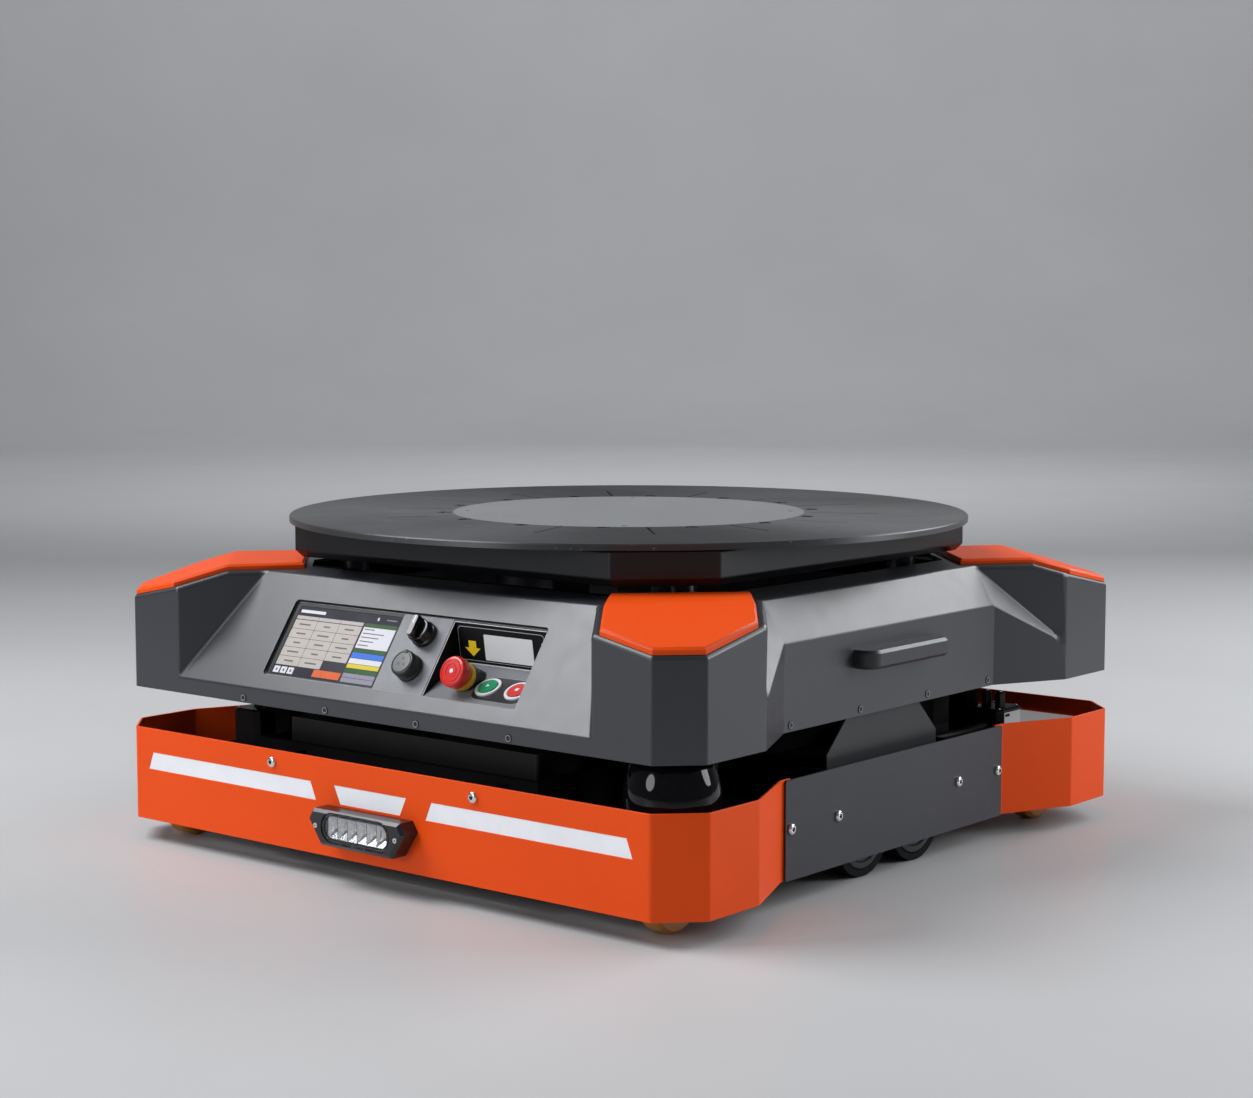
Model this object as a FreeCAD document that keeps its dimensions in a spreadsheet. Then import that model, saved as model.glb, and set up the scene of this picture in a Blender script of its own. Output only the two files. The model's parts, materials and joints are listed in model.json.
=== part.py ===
"""Autonomous mobile robot: a low four-cornered vehicle with a lifting turntable.

Frame: +Z up, origin on the floor under the middle of the robot, the control panel faces -Y
and a grab handle faces each of +X and -X.  Millimetres.
"""
import FreeCAD, Part
import math
import os
import re

import Sketcher
from FreeCAD import Placement, Rotation, Vector

# ---------------------------------------------------------------- driving dimensions

DIMENSIONS = {
    # bumpers: bent sheet that wraps each end of the base
    "half_width": 500, "half_length": 510, "bumper_chamfer": 48,
    "bumper_bottom": 30, "bumper_top": 156, "sheet_gauge": 3, "bend_radius": 8,
    "bulge_end": 366, "neck_start": 258, "neck_x": 452.4, "flange_end": 239,
    # light windows in the bumpers: outline of the outer strips and of the middle lamp
    "strip_top_in": 107, "strip_top_out": 417, "strip_low_in": 97, "strip_low_out": 426,
    "strip_top": 123.5, "strip_low": 100, "lamp_top_half": 64, "lamp_low_half": 53,
    "diffuser_gap": 0.25, "diffuser_lip": 7, "diffuser_gauge": 2.5,
    # beacon under the middle lamp
    "beacon_top": 97, "beacon_wide": 83, "beacon_low": 51, "beacon_top_half": 76,
    "beacon_wide_half": 85, "beacon_low_half": 63, "beacon_depth": 27,
    "beacon_lens_half": 60, "beacon_lens_radius": 19, "beacon_lens_z": 75.5,
    "beacon_pocket_depth": 20, "beacon_lens_depth": 15,
    # side panels between the bumpers
    "panel_face": 455.5, "panel_half": 252.5, "panel_bottom": 30, "panel_top": 155,
    "panel_screw_out": 241.5, "panel_screw_in": 141, "panel_screw_z": 94,
    "bumper_screw_x": 178, "bumper_screw_z": 139.7,
    "screw_head_radius": 7, "screw_head_rise": 4.2,
    # welded base
    "tub_half_width": 246, "tub_half_length": 470, "tub_bottom": 36, "plate": 6,
    "tub_top": 160, "side_plate_x": 449.3, "side_plate_half": 236, "side_plate_top": 150,
    "bay_half": 146, "bay_lid": 126, "deck_low": 104, "corner_deck_x": 484,
    "corner_deck_y": 484, "corner_deck_cut": 62,
    # upper frame that carries the cover
    "post_x": 355, "post_y": 315, "post_size": 30, "upper_frame_top": 368.8,
    "rail_low": 213, "rail_high": 228, "rail_depth": 20,
    # side brackets between the base and the upper frame
    "bracket_x": 428, "bracket_gauge": 4, "bracket_half": 127, "bracket_knee": 165,
    "bracket_top_half": 82,
    # moulded cover
    "cover_half_x": 497, "cover_half_y": 508, "cover_chamfer": 45, "cover_bottom": 211,
    "deck_top": 373, "cover_wall": 4, "inset_x": 445, "inset_half": 243,
    "flank_half": 351, "side_slope_z": 321, "side_slope_x": 411, "side_slope_half": 244,
    "tip_y": 351, "tip_z": 262, "wall_top_y": 348, "wall_top_z": 360,
    "face_low_z": 232, "face_low_half": 363, "face_top_y": 411, "face_top_half": 292,
    "fold_distance": 549.8, "corner_fall": 0.286, "mould_radius": 7,
    "deck_opening_half": 340, "deck_opening_cut": 60,
    # coloured corner caps on the cover
    "cap_rise": 8, "cap_inset": 3, "cap_side_inset": 10, "cap_gap": 0.2,
    "cap_inner_distance": 448, "cap_edge_radius": 3,
    # grab handles
    "handle_half": 96, "handle_reach": 30, "handle_low": 273, "handle_tall": 24,
    "handle_bar": 12, "handle_leg": 24, "handle_round": 22, "handle_edge": 4,
    "handle_web": 5,
    # control panel, in a frame that lies on the sloping face: across, up the slope, outwards
    "opening_left": -211, "opening_right": 233, "opening_low": 22, "opening_high": 133.5,
    "opening_round": 6, "insert_gap": 0.3, "insert_lip": 9, "insert_back": -20,
    "insert_face": -3, "display_left": -208.5, "display_right": -12, "display_low": 24.5,
    "display_high": 131, "display_floor": -12, "display_face": -3.6,
    "glass_left_margin": 7.5, "glass_top_margin": 4.5, "glass_margin": 2.5,
    "glass_depth": 2, "knob_across": 38, "selector_up": 105, "port_up": 57.5,
    # wedge-shaped pocket at the panel's right: a shelf that falls back to a crease
    "well_left": 77, "well_margin": 4, "shelf_low": 24, "shelf_high": 128.5,
    "crease_up": 91, "crease_out": -38, "well_wall": 5.5, "well_near": 47, "well_far": 27,
    # push buttons and knobs; the row is measured up the shelf
    "button_row": 31.5, "start_across": 162, "stop_across": 210, "control_hole": 11.2,
    "stem_radius": 10.7, "stem_low": -9, "drill_half": 30,
    "estop_across": 126, "estop_up": 62, "estop_out": -26, "estop_tilt": 66,
    "estop_barrel": 17, "estop_collar_low": 20, "estop_collar_top": 25,
    "estop_collar_radius": 21, "estop_head_radius": 20, "estop_travel": 4, "estop_top": 45,
    "button_ring_radius": 17.5, "button_ring_bore": 13.4, "button_ring_rise": 3.2,
    "button_radius": 13, "button_travel": 2.5, "knob_radius": 17.5, "knob_rise": 22,
    "port_radius": 18.5, "port_rise": 16,
    # lift: guide columns on the base, rods and pan above
    "column_x": 290, "column_y": 250, "column_radius": 34, "column_top": 352,
    "rod_radius": 20, "rod_low": 150, "rod_gap": 0.08,
    "pan_half_x": 373.5, "pan_half_y": 373, "pan_cut": 96, "pan_bottom": 388.6,
    "pan_top": 432, "pan_floor": 8, "pan_wall": 4, "pan_round": 10, "pan_hole_radius": 150,
    # slewing ring with internal teeth, and its pinion
    "gear_module": 6, "ring_teeth": 80, "pinion_teeth": 14, "ring_low": 399,
    "ring_outer_radius": 291.7, "race_bore_radius": 292.1, "race_outer_radius": 325,
    "race_top": 430, "tooth_slack": 0.35, "pinion_low": 400, "pinion_top": 431,
    "pinion_shaft_radius": 10, "pinion_shaft_low": 372, "motor_radius": 42,
    "motor_low": 252, "motor_flange": 50, "shaft_gap": 0.08,
    # turntable
    "disc_radius": 470, "disc_low": 434, "disc_top": 442, "disc_edge": 1.5,
    "plate_radius": 245, "plate_gap": 0.4, "ledge_radius": 214, "ledge_top": 438,
    "slot_count": 14, "slot_inner": 253, "slot_outer": 346, "slot_width": 3,
    "ring_screw_distance": 257.5, "ring_screw_pocket": 10, "ring_screw_pocket_depth": 5,
    "ring_screw_head": 8, "fixture_count": 4, "fixture_distance": 226,
    "fixture_radius": 4.5, "first_fixture_angle": -52,
    # drive wheels in tandem on a rocking bogie at each side
    "drive_radius": 58, "drive_width": 40, "drive_face": 440, "drive_spacing": 61,
    "axle_radius": 10, "bogie_face": 396, "bogie_gauge": 12, "bogie_pivot_z": 72,
    "bogie_pin_radius": 11, "gearmotor_radius": 33, "gearmotor_length": 108,
    "tread": 9,
    # casters
    "caster_x": 420, "caster_y": 415, "caster_radius": 40, "caster_width": 32,
    "caster_trail": 23, "caster_plate_x": 45, "caster_plate_y": 36, "crown_radius": 27,
    "crown_low": 88, "crown_high": 99.4, "fork_gauge": 4, "fork_gap": 19.5,
    "kingpin_radius": 6, "caster_axle_radius": 5,
    # safety scanners at two opposite corners
    "scanner_x": 423, "scanner_y": 433, "scanner_radius": 59, "scanner_neck": 46,
    "scanner_low": 138, "scanner_belly": 162, "scanner_high": 209, "scanner_cap": 224,
    # junction boxes at the other two corners, and the conduit from each
    "box_x_low": 374, "box_x_high": 425, "box_y_low": 300, "box_y_high": 362,
    "box_high": 166, "box_round": 8, "gland_radius": 8, "gland_rise": 20,
    "conduit_radius": 7, "conduit_z": 142, "conduit_straight": 25, "conduit_sway": 7,
    # battery and control cabinet in the tub
    "store_half": 220, "store_near": 170, "store_far": 440, "battery_top": 196,
    "cabinet_top": 186, "store_round": 6,
}

doc = FreeCAD.newDocument("mobile_robot")
sheet = doc.addObject("Spreadsheet::Sheet", "Sizes")
for line, (alias, size) in enumerate(DIMENSIONS.items(), start=1):
    sheet.set(f"A{line}", alias)
    sheet.set(f"B{line}", str(size))
    sheet.setAlias(f"B{line}", alias)
doc.recompute()

ALIAS = re.compile(r"\b(" + "|".join(sorted(DIMENSIONS, key=len, reverse=True)) + r")\b")
SIGNS = ("1", "-1")
FAR = 3000.0
nodes = []


# ---------------------------------------------------------------- helpers

def formula(text):
    """The expression text with each alias written as a reference to the sheet."""
    return ALIAS.sub(r"Sizes.\1", text)


def number(text):
    """The present value of an expression in the sheet's aliases."""
    value = sheet.evalExpression(formula(text))
    return float(getattr(value, "Value", value))


def bind(obj, **texts):
    """Drive properties of obj by expressions in the sheet's aliases."""
    for name, text in texts.items():
        obj.setExpression(name, formula(text))


def place(obj, x="0", y="0", z="0", axis=(0, 0, 1), angle=0.0):
    """Put obj at a driven position, turned by a fixed angle about an axis."""
    spot = Vector(number(x), number(y), number(z))
    obj.Placement = Placement(spot, Rotation(Vector(*axis), angle))
    for letter, text in zip("xyz", (x, y, z)):
        if text != "0":
            obj.setExpression(".Placement.Base." + letter, formula(text))
    return obj


def node(obj, name):
    """Keep obj as the sub-part called name."""
    obj.Label = name
    nodes.append(obj)
    return obj


def box(name, x, y, z):
    """A block between the low and high formulas of each axis."""
    obj = doc.addObject("Part::Box", name)
    bind(obj, Length=f"({x[1]}) - ({x[0]})", Width=f"({y[1]}) - ({y[0]})",
         Height=f"({z[1]}) - ({z[0]})")
    return place(obj, x[0], y[0], z[0])


def cylinder(name, radius, low, high, first="0", second="0", along="z"):
    """A round bar from low to high along an axis; first and second place it across."""
    obj = doc.addObject("Part::Cylinder", name)
    bind(obj, Radius=radius, Height=f"({high}) - ({low})")
    if along == "z":
        return place(obj, first, second, low)
    if along == "x":
        return place(obj, low, first, second, (0, 1, 0), 90)
    return place(obj, first, low, second, (1, 0, 0), -90)


def fuse(name, pieces):
    obj = doc.addObject("Part::MultiFuse", name)
    obj.Shapes = pieces
    obj.Refine = True
    return obj


def group(name, pieces):
    """Separate solids kept together, such as a set of screws."""
    obj = doc.addObject("Part::Compound", name)
    obj.Links = pieces
    return obj


def cut(name, base, tools):
    obj = doc.addObject("Part::Cut", name)
    obj.Base = base
    obj.Tool = tools[0] if len(tools) == 1 else group(name + "_tools", tools)
    obj.Refine = True
    return obj


def rounded(name, base, radius, chosen):
    """Fillet the edges of base that chosen(edge) picks."""
    doc.recompute()
    size = number(radius)
    picked = [(i, size, size) for i, edge in enumerate(base.Shape.Edges, 1) if chosen(edge)]
    obj = doc.addObject("Part::Fillet", name)
    obj.Base = base
    obj.Edges = picked
    return obj


def coded(name, shape):
    """A document object that holds a shape worked out from the sheet by a function here."""
    obj = doc.addObject("Part::Feature", name)
    obj.Shape = shape
    return obj


def new_body(name):
    return doc.addObject("PartDesign::Body", name)


def sketch_on(body, name, plane="XY_Plane", height="0"):
    """An empty sketch on one of the body's own origin planes, raised along its normal."""
    sketch = body.newObject("Sketcher::SketchObject", name)
    support = next(f for f in body.Origin.OriginFeatures if f.Role == plane)
    sketch.AttachmentSupport = [(support, "")]
    sketch.MapMode = "FlatFace"
    if height != "0":
        sketch.setExpression(".AttachmentOffset.Base.z", formula(height))
    return sketch


def drive_point(sketch, geometry, end, across, up):
    """Tie a point of the sketch to its driven distances from the sketch's origin."""
    for kind, text, zero_axis in (("DistanceX", across, -2), ("DistanceY", up, -1)):
        if text == "0":
            sketch.addConstraint(Sketcher.Constraint("PointOnObject", geometry, end, zero_axis))
            continue
        rule = Sketcher.Constraint(kind, -1, 1, geometry, end, number(text))
        index = sketch.addConstraint(rule)
        sketch.setExpression(f"Constraints[{index}]", formula(text))


def polygon(sketch, corners):
    """A closed outline; each corner is an (across, up) pair of formulas."""
    spots = [Vector(number(a), number(b), 0) for a, b in corners]
    first = sketch.GeometryCount
    count = len(spots)
    for i, spot in enumerate(spots):
        sketch.addGeometry(Part.LineSegment(spot, spots[(i + 1) % count]))
    for i in range(count):
        after = first + (i + 1) % count
        sketch.addConstraint(Sketcher.Constraint("Coincident", first + i, 2, after, 1))
    for i, (across, up) in enumerate(corners):
        drive_point(sketch, first + i, 1, across, up)


def circle(sketch, radius, across="0", up="0"):
    centre = Vector(number(across), number(up), 0)
    index = sketch.addGeometry(Part.Circle(centre, Vector(0, 0, 1), number(radius)))
    rule = sketch.addConstraint(Sketcher.Constraint("Radius", index, number(radius)))
    sketch.setExpression(f"Constraints[{rule}]", formula(radius))
    if (across, up) == ("0", "0"):
        sketch.addConstraint(Sketcher.Constraint("Coincident", index, 3, -1, 1))
    else:
        drive_point(sketch, index, 3, across, up)


def regular(sketch, sides, radius, across, up):
    """A regular polygon that stands for a small round form where many repeat."""
    polygon(sketch, [(f"{across} + {radius} * cos({i} * 360 deg / {sides})",
                      f"{up} + {radius} * sin({i} * 360 deg / {sides})") for i in range(sides)])


def pad(body, sketch, length):
    feature = body.newObject("PartDesign::Pad", sketch.Name + "_pad")
    feature.Profile = sketch
    bind(feature, Length=length)
    return feature


def pocket(body, sketch, length=None):
    """A pocket below the sketch, or right through on both sides of it without a length."""
    feature = body.newObject("PartDesign::Pocket", sketch.Name + "_pocket")
    feature.Profile = sketch
    if length is None:
        feature.Type = "ThroughAll"
        feature.Midplane = True
    else:
        bind(feature, Length=length)
    return feature


def revolve(body, sketch):
    """Turn the sketch a full turn about its own vertical axis."""
    feature = body.newObject("PartDesign::Revolution", sketch.Name + "_turned")
    feature.Profile = sketch
    feature.ReferenceAxis = (sketch, ["V_Axis"])
    feature.Angle = 360
    return feature


def soften(body, kind, size, chosen):
    """Fillet or chamfer the edges of the body's last feature that chosen(edge) picks."""
    doc.recompute()
    base = body.Tip
    names = [f"Edge{i}" for i, e in enumerate(base.Shape.Edges, 1) if chosen(e)]
    feature = body.newObject("PartDesign::" + kind, f"{body.Name}_{kind.lower()}_{len(body.Group)}")
    feature.Base = (base, names)
    bind(feature, **{"Radius" if kind == "Fillet" else "Size": size})
    return feature


def ring_of(body, features, count):
    """Repeat features around the body's own Z axis."""
    pattern = body.newObject("PartDesign::PolarPattern", features[0].Name + "_ring")
    pattern.Originals = features
    axis = next(f for f in body.Origin.OriginFeatures if f.Role == "Z_Axis")
    pattern.Axis = (axis, [""])
    pattern.Angle = 360
    bind(pattern, Occurrences=count)
    body.Tip = pattern
    return pattern


def level(edge, height):
    """Whether an edge lies flat at a height of its own frame."""
    box_ = edge.BoundBox
    return abs(box_.ZMin - height) < 0.01 and abs(box_.ZMax - height) < 0.01


def upright(edge):
    box_ = edge.BoundBox
    return box_.XLength < 0.01 and box_.YLength < 0.01


def turned(name, profile):
    """A body turned about its own Z axis from an outline of (radius, height) formulas."""
    body = new_body(name)
    sketch = sketch_on(body, name + "_profile", "XZ_Plane")
    polygon(sketch, profile)
    revolve(body, sketch)
    return body


# ---------------------------------------------------------------- bumpers, panels and lights

SLANT = "(sheet_gauge * tan(atan((half_width - neck_x) / (bulge_end - neck_start)) / 2))"
INNER_CHAMFER = "(bumper_chamfer - sheet_gauge * (2 - sqrt(2)))"


def bumper_outline():
    """Outer bends and then inner bends of the front bumper, seen from above."""
    outer = [("neck_x", "-flange_end"), ("neck_x", "-neck_start"),
             ("half_width", "-bulge_end"),
             ("half_width", "bumper_chamfer - half_length"),
             ("half_width - bumper_chamfer", "-half_length")]
    inner = [("neck_x - sheet_gauge", "-flange_end"),
             ("neck_x - sheet_gauge", f"-neck_start - {SLANT}"),
             ("half_width - sheet_gauge", f"-bulge_end - {SLANT}"),
             ("half_width - sheet_gauge", f"{INNER_CHAMFER} + sheet_gauge - half_length"),
             (f"half_width - sheet_gauge - {INNER_CHAMFER}", "sheet_gauge - half_length")]
    mirror = [(f"-({across})", up) for across, up in reversed(outer)]
    inner_mirror = [(f"-({across})", up) for across, up in inner]
    return outer + mirror + inner_mirror + list(reversed(inner))


def strip_window(sign):
    """Slanted-end window of an outer light strip, as (x, z)."""
    return [(f"{sign} * strip_top_in", "strip_top"), (f"{sign} * strip_top_out", "strip_top"),
            (f"{sign} * strip_low_out", "strip_low"), (f"{sign} * strip_low_in", "strip_low")]


LAMP_WINDOW = [("-lamp_top_half", "strip_top"), ("lamp_top_half", "strip_top"),
               ("lamp_low_half", "strip_low"), ("-lamp_low_half", "strip_low")]


def make_bumper(name, turn):
    body = new_body(name)
    outline = sketch_on(body, name + "_bends", height="bumper_bottom")
    polygon(outline, bumper_outline())
    pad(body, outline, "bumper_top - bumper_bottom")
    flange = number("flange_end") + 1

    def bend(edge):
        return upright(edge) and abs(edge.BoundBox.Center.y) > flange

    soften(body, "Fillet", "bend_radius", bend)
    windows = sketch_on(body, name + "_windows", "XZ_Plane")
    for sign in SIGNS:
        polygon(windows, strip_window(sign))
    polygon(windows, LAMP_WINDOW)
    pocket(body, windows)
    return place(body, angle=turn)


def make_light_strips():
    """Diffusers that fill the windows, each with a lip behind the sheet."""
    pieces = []
    windows = {"strip_left": strip_window("-1"), "strip_right": strip_window("1"),
               "lamp": LAMP_WINDOW}
    for end, turn in (("front", 0), ("rear", 180)):
        for label, window in windows.items():
            body = new_body(f"diffuser_{label}_{end}")
            lip = sketch_on(body, f"{label}_{end}_lip", "XZ_Plane",
                            "half_length - sheet_gauge - 0.1 - diffuser_gauge")
            polygon(lip, spread(window, "diffuser_lip"))
            pad(body, lip, "diffuser_gauge")
            face = sketch_on(body, f"{label}_{end}_face", "XZ_Plane",
                             "half_length - sheet_gauge - 0.1")
            polygon(face, spread(window, "-diffuser_gap"))
            pad(body, face, "sheet_gauge - 0.4")
            pieces.append(place(body, angle=turn))
    return node(group("light_strips", pieces), "light_strips")


def spread(window, margin):
    """The window grown by a margin on every side, or shrunk by a negative one."""
    grown = []
    middle = sum(number(across) for across, _ in window) / len(window)
    for across, up in window:
        way = "+" if number(across) > middle else "-"
        rise = "+" if up == "strip_top" else "-"
        grown.append((f"{across} {way} {margin}", f"{up} {rise} {margin}"))
    return grown


def make_beacons():
    """Lamp housings low on both bumpers, with their clear lenses."""
    housings, lenses = [], []
    for end, turn in (("front", 0), ("rear", 180)):
        body = new_body(f"beacon_{end}")
        outline = sketch_on(body, f"beacon_{end}_outline", "XZ_Plane", "half_length")
        polygon(outline, [("-beacon_top_half", "beacon_top"), ("beacon_top_half", "beacon_top"),
                          ("beacon_wide_half", "beacon_wide"), ("beacon_low_half", "beacon_low"),
                          ("-beacon_low_half", "beacon_low"), ("-beacon_wide_half", "beacon_wide")])
        pad(body, outline, "beacon_depth")
        front = -number("half_length + beacon_depth")
        soften(body, "Chamfer", "4", lambda e: abs(e.BoundBox.YMin - front) < 0.01
               and abs(e.BoundBox.YMax - front) < 0.01)
        well = sketch_on(body, f"beacon_{end}_well", "XZ_Plane", "half_length + beacon_depth")
        stadium(well, "beacon_lens_half + 0.5", "beacon_lens_radius + 0.5", "beacon_lens_z")
        pocket(body, well, "beacon_pocket_depth")
        housings.append(place(body, angle=turn))

        lens = new_body(f"beacon_lens_{end}")
        form = sketch_on(lens, f"beacon_lens_{end}_outline", "XZ_Plane",
                         "half_length + beacon_depth - beacon_lens_depth - 1")
        stadium(form, "beacon_lens_half", "beacon_lens_radius", "beacon_lens_z")
        pad(lens, form, "beacon_lens_depth")
        lens_front = -number("half_length + beacon_depth - 1")
        soften(lens, "Chamfer", "2", lambda e: abs(e.BoundBox.YMin - lens_front) < 0.01
               and abs(e.BoundBox.YMax - lens_front) < 0.01)
        lenses.append(place(lens, angle=turn))
    node(group("warning_light_housings", housings), "warning_light_housings")
    node(group("warning_light_lenses", lenses), "warning_light_lenses")


def stadium(sketch, half, radius, up):
    """Two straight runs joined by half circles, centred on the sketch's vertical axis."""
    reach = number(half) - number(radius)
    size = number(radius)
    height = number(up)
    first = sketch.GeometryCount
    for way in (1, -1):
        start = Vector(-way * reach, height + way * size, 0)
        end = Vector(way * reach, height + way * size, 0)
        sketch.addGeometry(Part.LineSegment(start, end))
        middle = Vector(way * (reach + size), height, 0)
        sketch.addGeometry(Part.Arc(end, middle, Vector(way * reach, height - way * size, 0)))
    for i in range(4):
        ends = (first + i, 2 if i % 2 == 0 else 1, first + (i + 1) % 4, 1 if i % 2 else 2)
        sketch.addConstraint(Sketcher.Constraint("Tangent", *ends))
    rule = sketch.addConstraint(Sketcher.Constraint("Radius", first + 1, size))
    sketch.setExpression(f"Constraints[{rule}]", formula(radius))
    drive_point(sketch, first + 1, 3, f"{half} - {radius}", up)
    drive_point(sketch, first + 3, 3, f"{radius} - ({half})", up)


def make_side_panels():
    panels = []
    for side, sign in (("right", 1), ("left", -1)):
        body = new_body(f"side_panel_{side}")
        outline = sketch_on(body, f"side_panel_{side}_outline", "YZ_Plane",
                            "panel_face - sheet_gauge")
        polygon(outline, [("-panel_half", "panel_bottom"), ("panel_half", "panel_bottom"),
                          ("panel_half", "panel_top"), ("-panel_half", "panel_top")])
        pad(body, outline, "sheet_gauge")
        soften(body, "Fillet", "3", lambda e: e.BoundBox.YLength < 0.01 and e.BoundBox.ZLength < 0.01)
        panels.append(place(body, angle=0 if sign > 0 else 180))
    return node(group("side_panels", panels), "side_panels")


def screw_at(name, radius, rise, spot, facing):
    """A low screw head on its seat, drawn with twelve sides; facing is in degrees from +X."""
    head = doc.addObject("Part::Prism", name)
    head.Polygon = 12
    bind(head, Circumradius=radius, Height=rise)
    place(head, *spot)
    heading = math.radians(facing)
    way = Vector(round(math.cos(heading)), round(math.sin(heading)), 0)
    head.Placement = Placement(head.Placement.Base, Rotation(Vector(0, 0, 1), way))
    return head


def make_outer_screws():
    sizes = ("screw_head_radius", "screw_head_rise")
    screws = []
    for sign, facing in (("1", 0), ("-1", 180)):
        for where in ("panel_screw_out", "panel_screw_in", "-panel_screw_out", "-panel_screw_in"):
            spot = (f"{sign} * panel_face", where, "panel_screw_z")
            screws.append(screw_at(f"panel_screw_{len(screws)}", *sizes, spot, facing))
    for sign, facing in (("-1", -90), ("1", 90)):
        for side in SIGNS:
            spot = (f"{side} * bumper_screw_x", f"{sign} * half_length", "bumper_screw_z")
            screws.append(screw_at(f"bumper_screw_{len(screws)}", *sizes, spot, facing))
    return node(group("outer_screws", screws), "outer_screws")


# ---------------------------------------------------------------- base and inner structure

def make_base_frame():
    """Welded tub, drive bays, side plates and raised corner decks, plate butted to plate."""
    walls = ("tub_bottom + plate", "tub_top")
    parts = [box("tub_floor", ("-tub_half_width", "tub_half_width"),
                 ("-tub_half_length", "tub_half_length"), ("tub_bottom", "tub_bottom + plate"))]
    for side in SIGNS:
        tag = "r" if side == "1" else "l"
        rail = box(f"tub_rail_{tag}", ordered(side, "tub_half_width - plate", "tub_half_width"),
                   ("-tub_half_length", "tub_half_length"), walls)
        hole = cylinder(f"pivot_hole_{tag}", "bogie_pin_radius + shaft_gap",
                        *ordered(side, "tub_half_width - 2 * plate", "tub_half_width + plate"),
                        "0", "bogie_pivot_z", "x")
        parts.append(cut(f"bored_rail_{tag}", rail, [hole]))
        parts.append(box(f"side_plate_{tag}", ordered(side, "side_plate_x - plate", "side_plate_x"),
                         ("-side_plate_half", "side_plate_half"), ("tub_bottom", "side_plate_top")))
        bay = ordered(side, "tub_half_width", "side_plate_x - plate")
        parts.append(box(f"bay_lid_{tag}", bay, ("plate - bay_half", "bay_half - plate"),
                         ("bay_lid - plate", "bay_lid")))
        parts.append(box(f"end_wall_{tag}", ("plate - tub_half_width", "tub_half_width - plate"),
                         ordered(side, "tub_half_length - plate", "tub_half_length"), walls))
        for end in SIGNS:
            mark = tag + ("b" if end == "1" else "f")
            parts.append(box(f"bay_wall_{mark}", bay, ordered(end, "bay_half - plate", "bay_half"),
                             ("tub_bottom", "side_plate_top")))
            parts.append(corner_deck(mark, side, end))
            tab = ordered(side, "bumper_screw_x - 20", "bumper_screw_x + 20")
            reach = ordered(end, "tub_half_length", "half_length - sheet_gauge - 0.1")
            parts.append(box(f"bumper_tab_{mark}", tab, reach, ("bumper_screw_z - 8", "tub_top - 8")))
    return node(group("base_frame", parts), "base_frame")


def ordered(sign, near, far):
    """The span from near to far, mirrored to the negative side for a sign of -1."""
    return (near, far) if sign == "1" else (f"-({far})", f"-({near})")


def corner_deck(mark, side, end):
    """Raised plate over a caster, with its outer corner cut off."""
    body = new_body("corner_deck_" + mark)
    sketch = sketch_on(body, f"corner_deck_{mark}_outline", height="deck_low")
    corners = [("tub_half_width", "bay_half"), ("side_plate_x - plate", "bay_half"),
               ("side_plate_x - plate", "neck_start + 10"),
               ("corner_deck_x - 6", "bulge_end + 10"), ("corner_deck_x", "bulge_end + 24"),
               ("corner_deck_x", "corner_deck_y - corner_deck_cut"),
               ("corner_deck_x - corner_deck_cut", "corner_deck_y"),
               ("tub_half_width", "corner_deck_y")]
    polygon(sketch, [(f"{side} * ({across})", f"{end} * ({up})") for across, up in corners])
    pad(body, sketch, "plate")
    return body


def make_upper_frame():
    """Tubes butted together: posts, a ring under the deck, a rail behind the lower edge."""
    parts = []
    ring_z = ("upper_frame_top - post_size", "upper_frame_top")
    rail_z = ("rail_low", "rail_high")
    inner_x, outer_x = "post_x - post_size / 2", "post_x + post_size / 2"
    inner_y, outer_y = "post_y - post_size / 2", "post_y + post_size / 2"
    rail_x, rail_y = "inset_x - cover_wall - 0.3", "cover_half_y - cover_wall - 0.3"
    for sign in SIGNS:
        tag = "p" if sign == "1" else "n"
        beam_x = ordered(sign, inner_x, outer_x)
        parts.append(box("ring_side_" + tag, beam_x, (f"-({outer_y})", outer_y), ring_z))
        parts.append(box("ring_end_" + tag, (f"-({inner_x})", inner_x),
                         ordered(sign, inner_y, outer_y), ring_z))
        parts.append(box("rail_side_" + tag, ordered(sign, f"{rail_x} - rail_depth", rail_x),
                         (f"-({outer_y})", outer_y), rail_z))
        parts.append(box("rail_end_" + tag, (f"-({outer_x})", outer_x),
                         ordered(sign, f"{rail_y} - rail_depth", rail_y), rail_z))
        for other in SIGNS:
            mark = tag + ("p" if other == "1" else "n")
            beam_y = ordered(other, inner_y, outer_y)
            parts.append(box("post_" + mark, beam_x, beam_y,
                             ("deck_low + plate", "upper_frame_top - post_size")))
            parts.append(box("arm_x_" + mark, ordered(sign, outer_x, f"{rail_x} - rail_depth"),
                             beam_y, rail_z))
            parts.append(box("arm_y_" + mark, beam_x,
                             ordered(other, outer_y, f"{rail_y} - rail_depth"), rail_z))
    return node(group("upper_frame", parts), "upper_frame")


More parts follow.
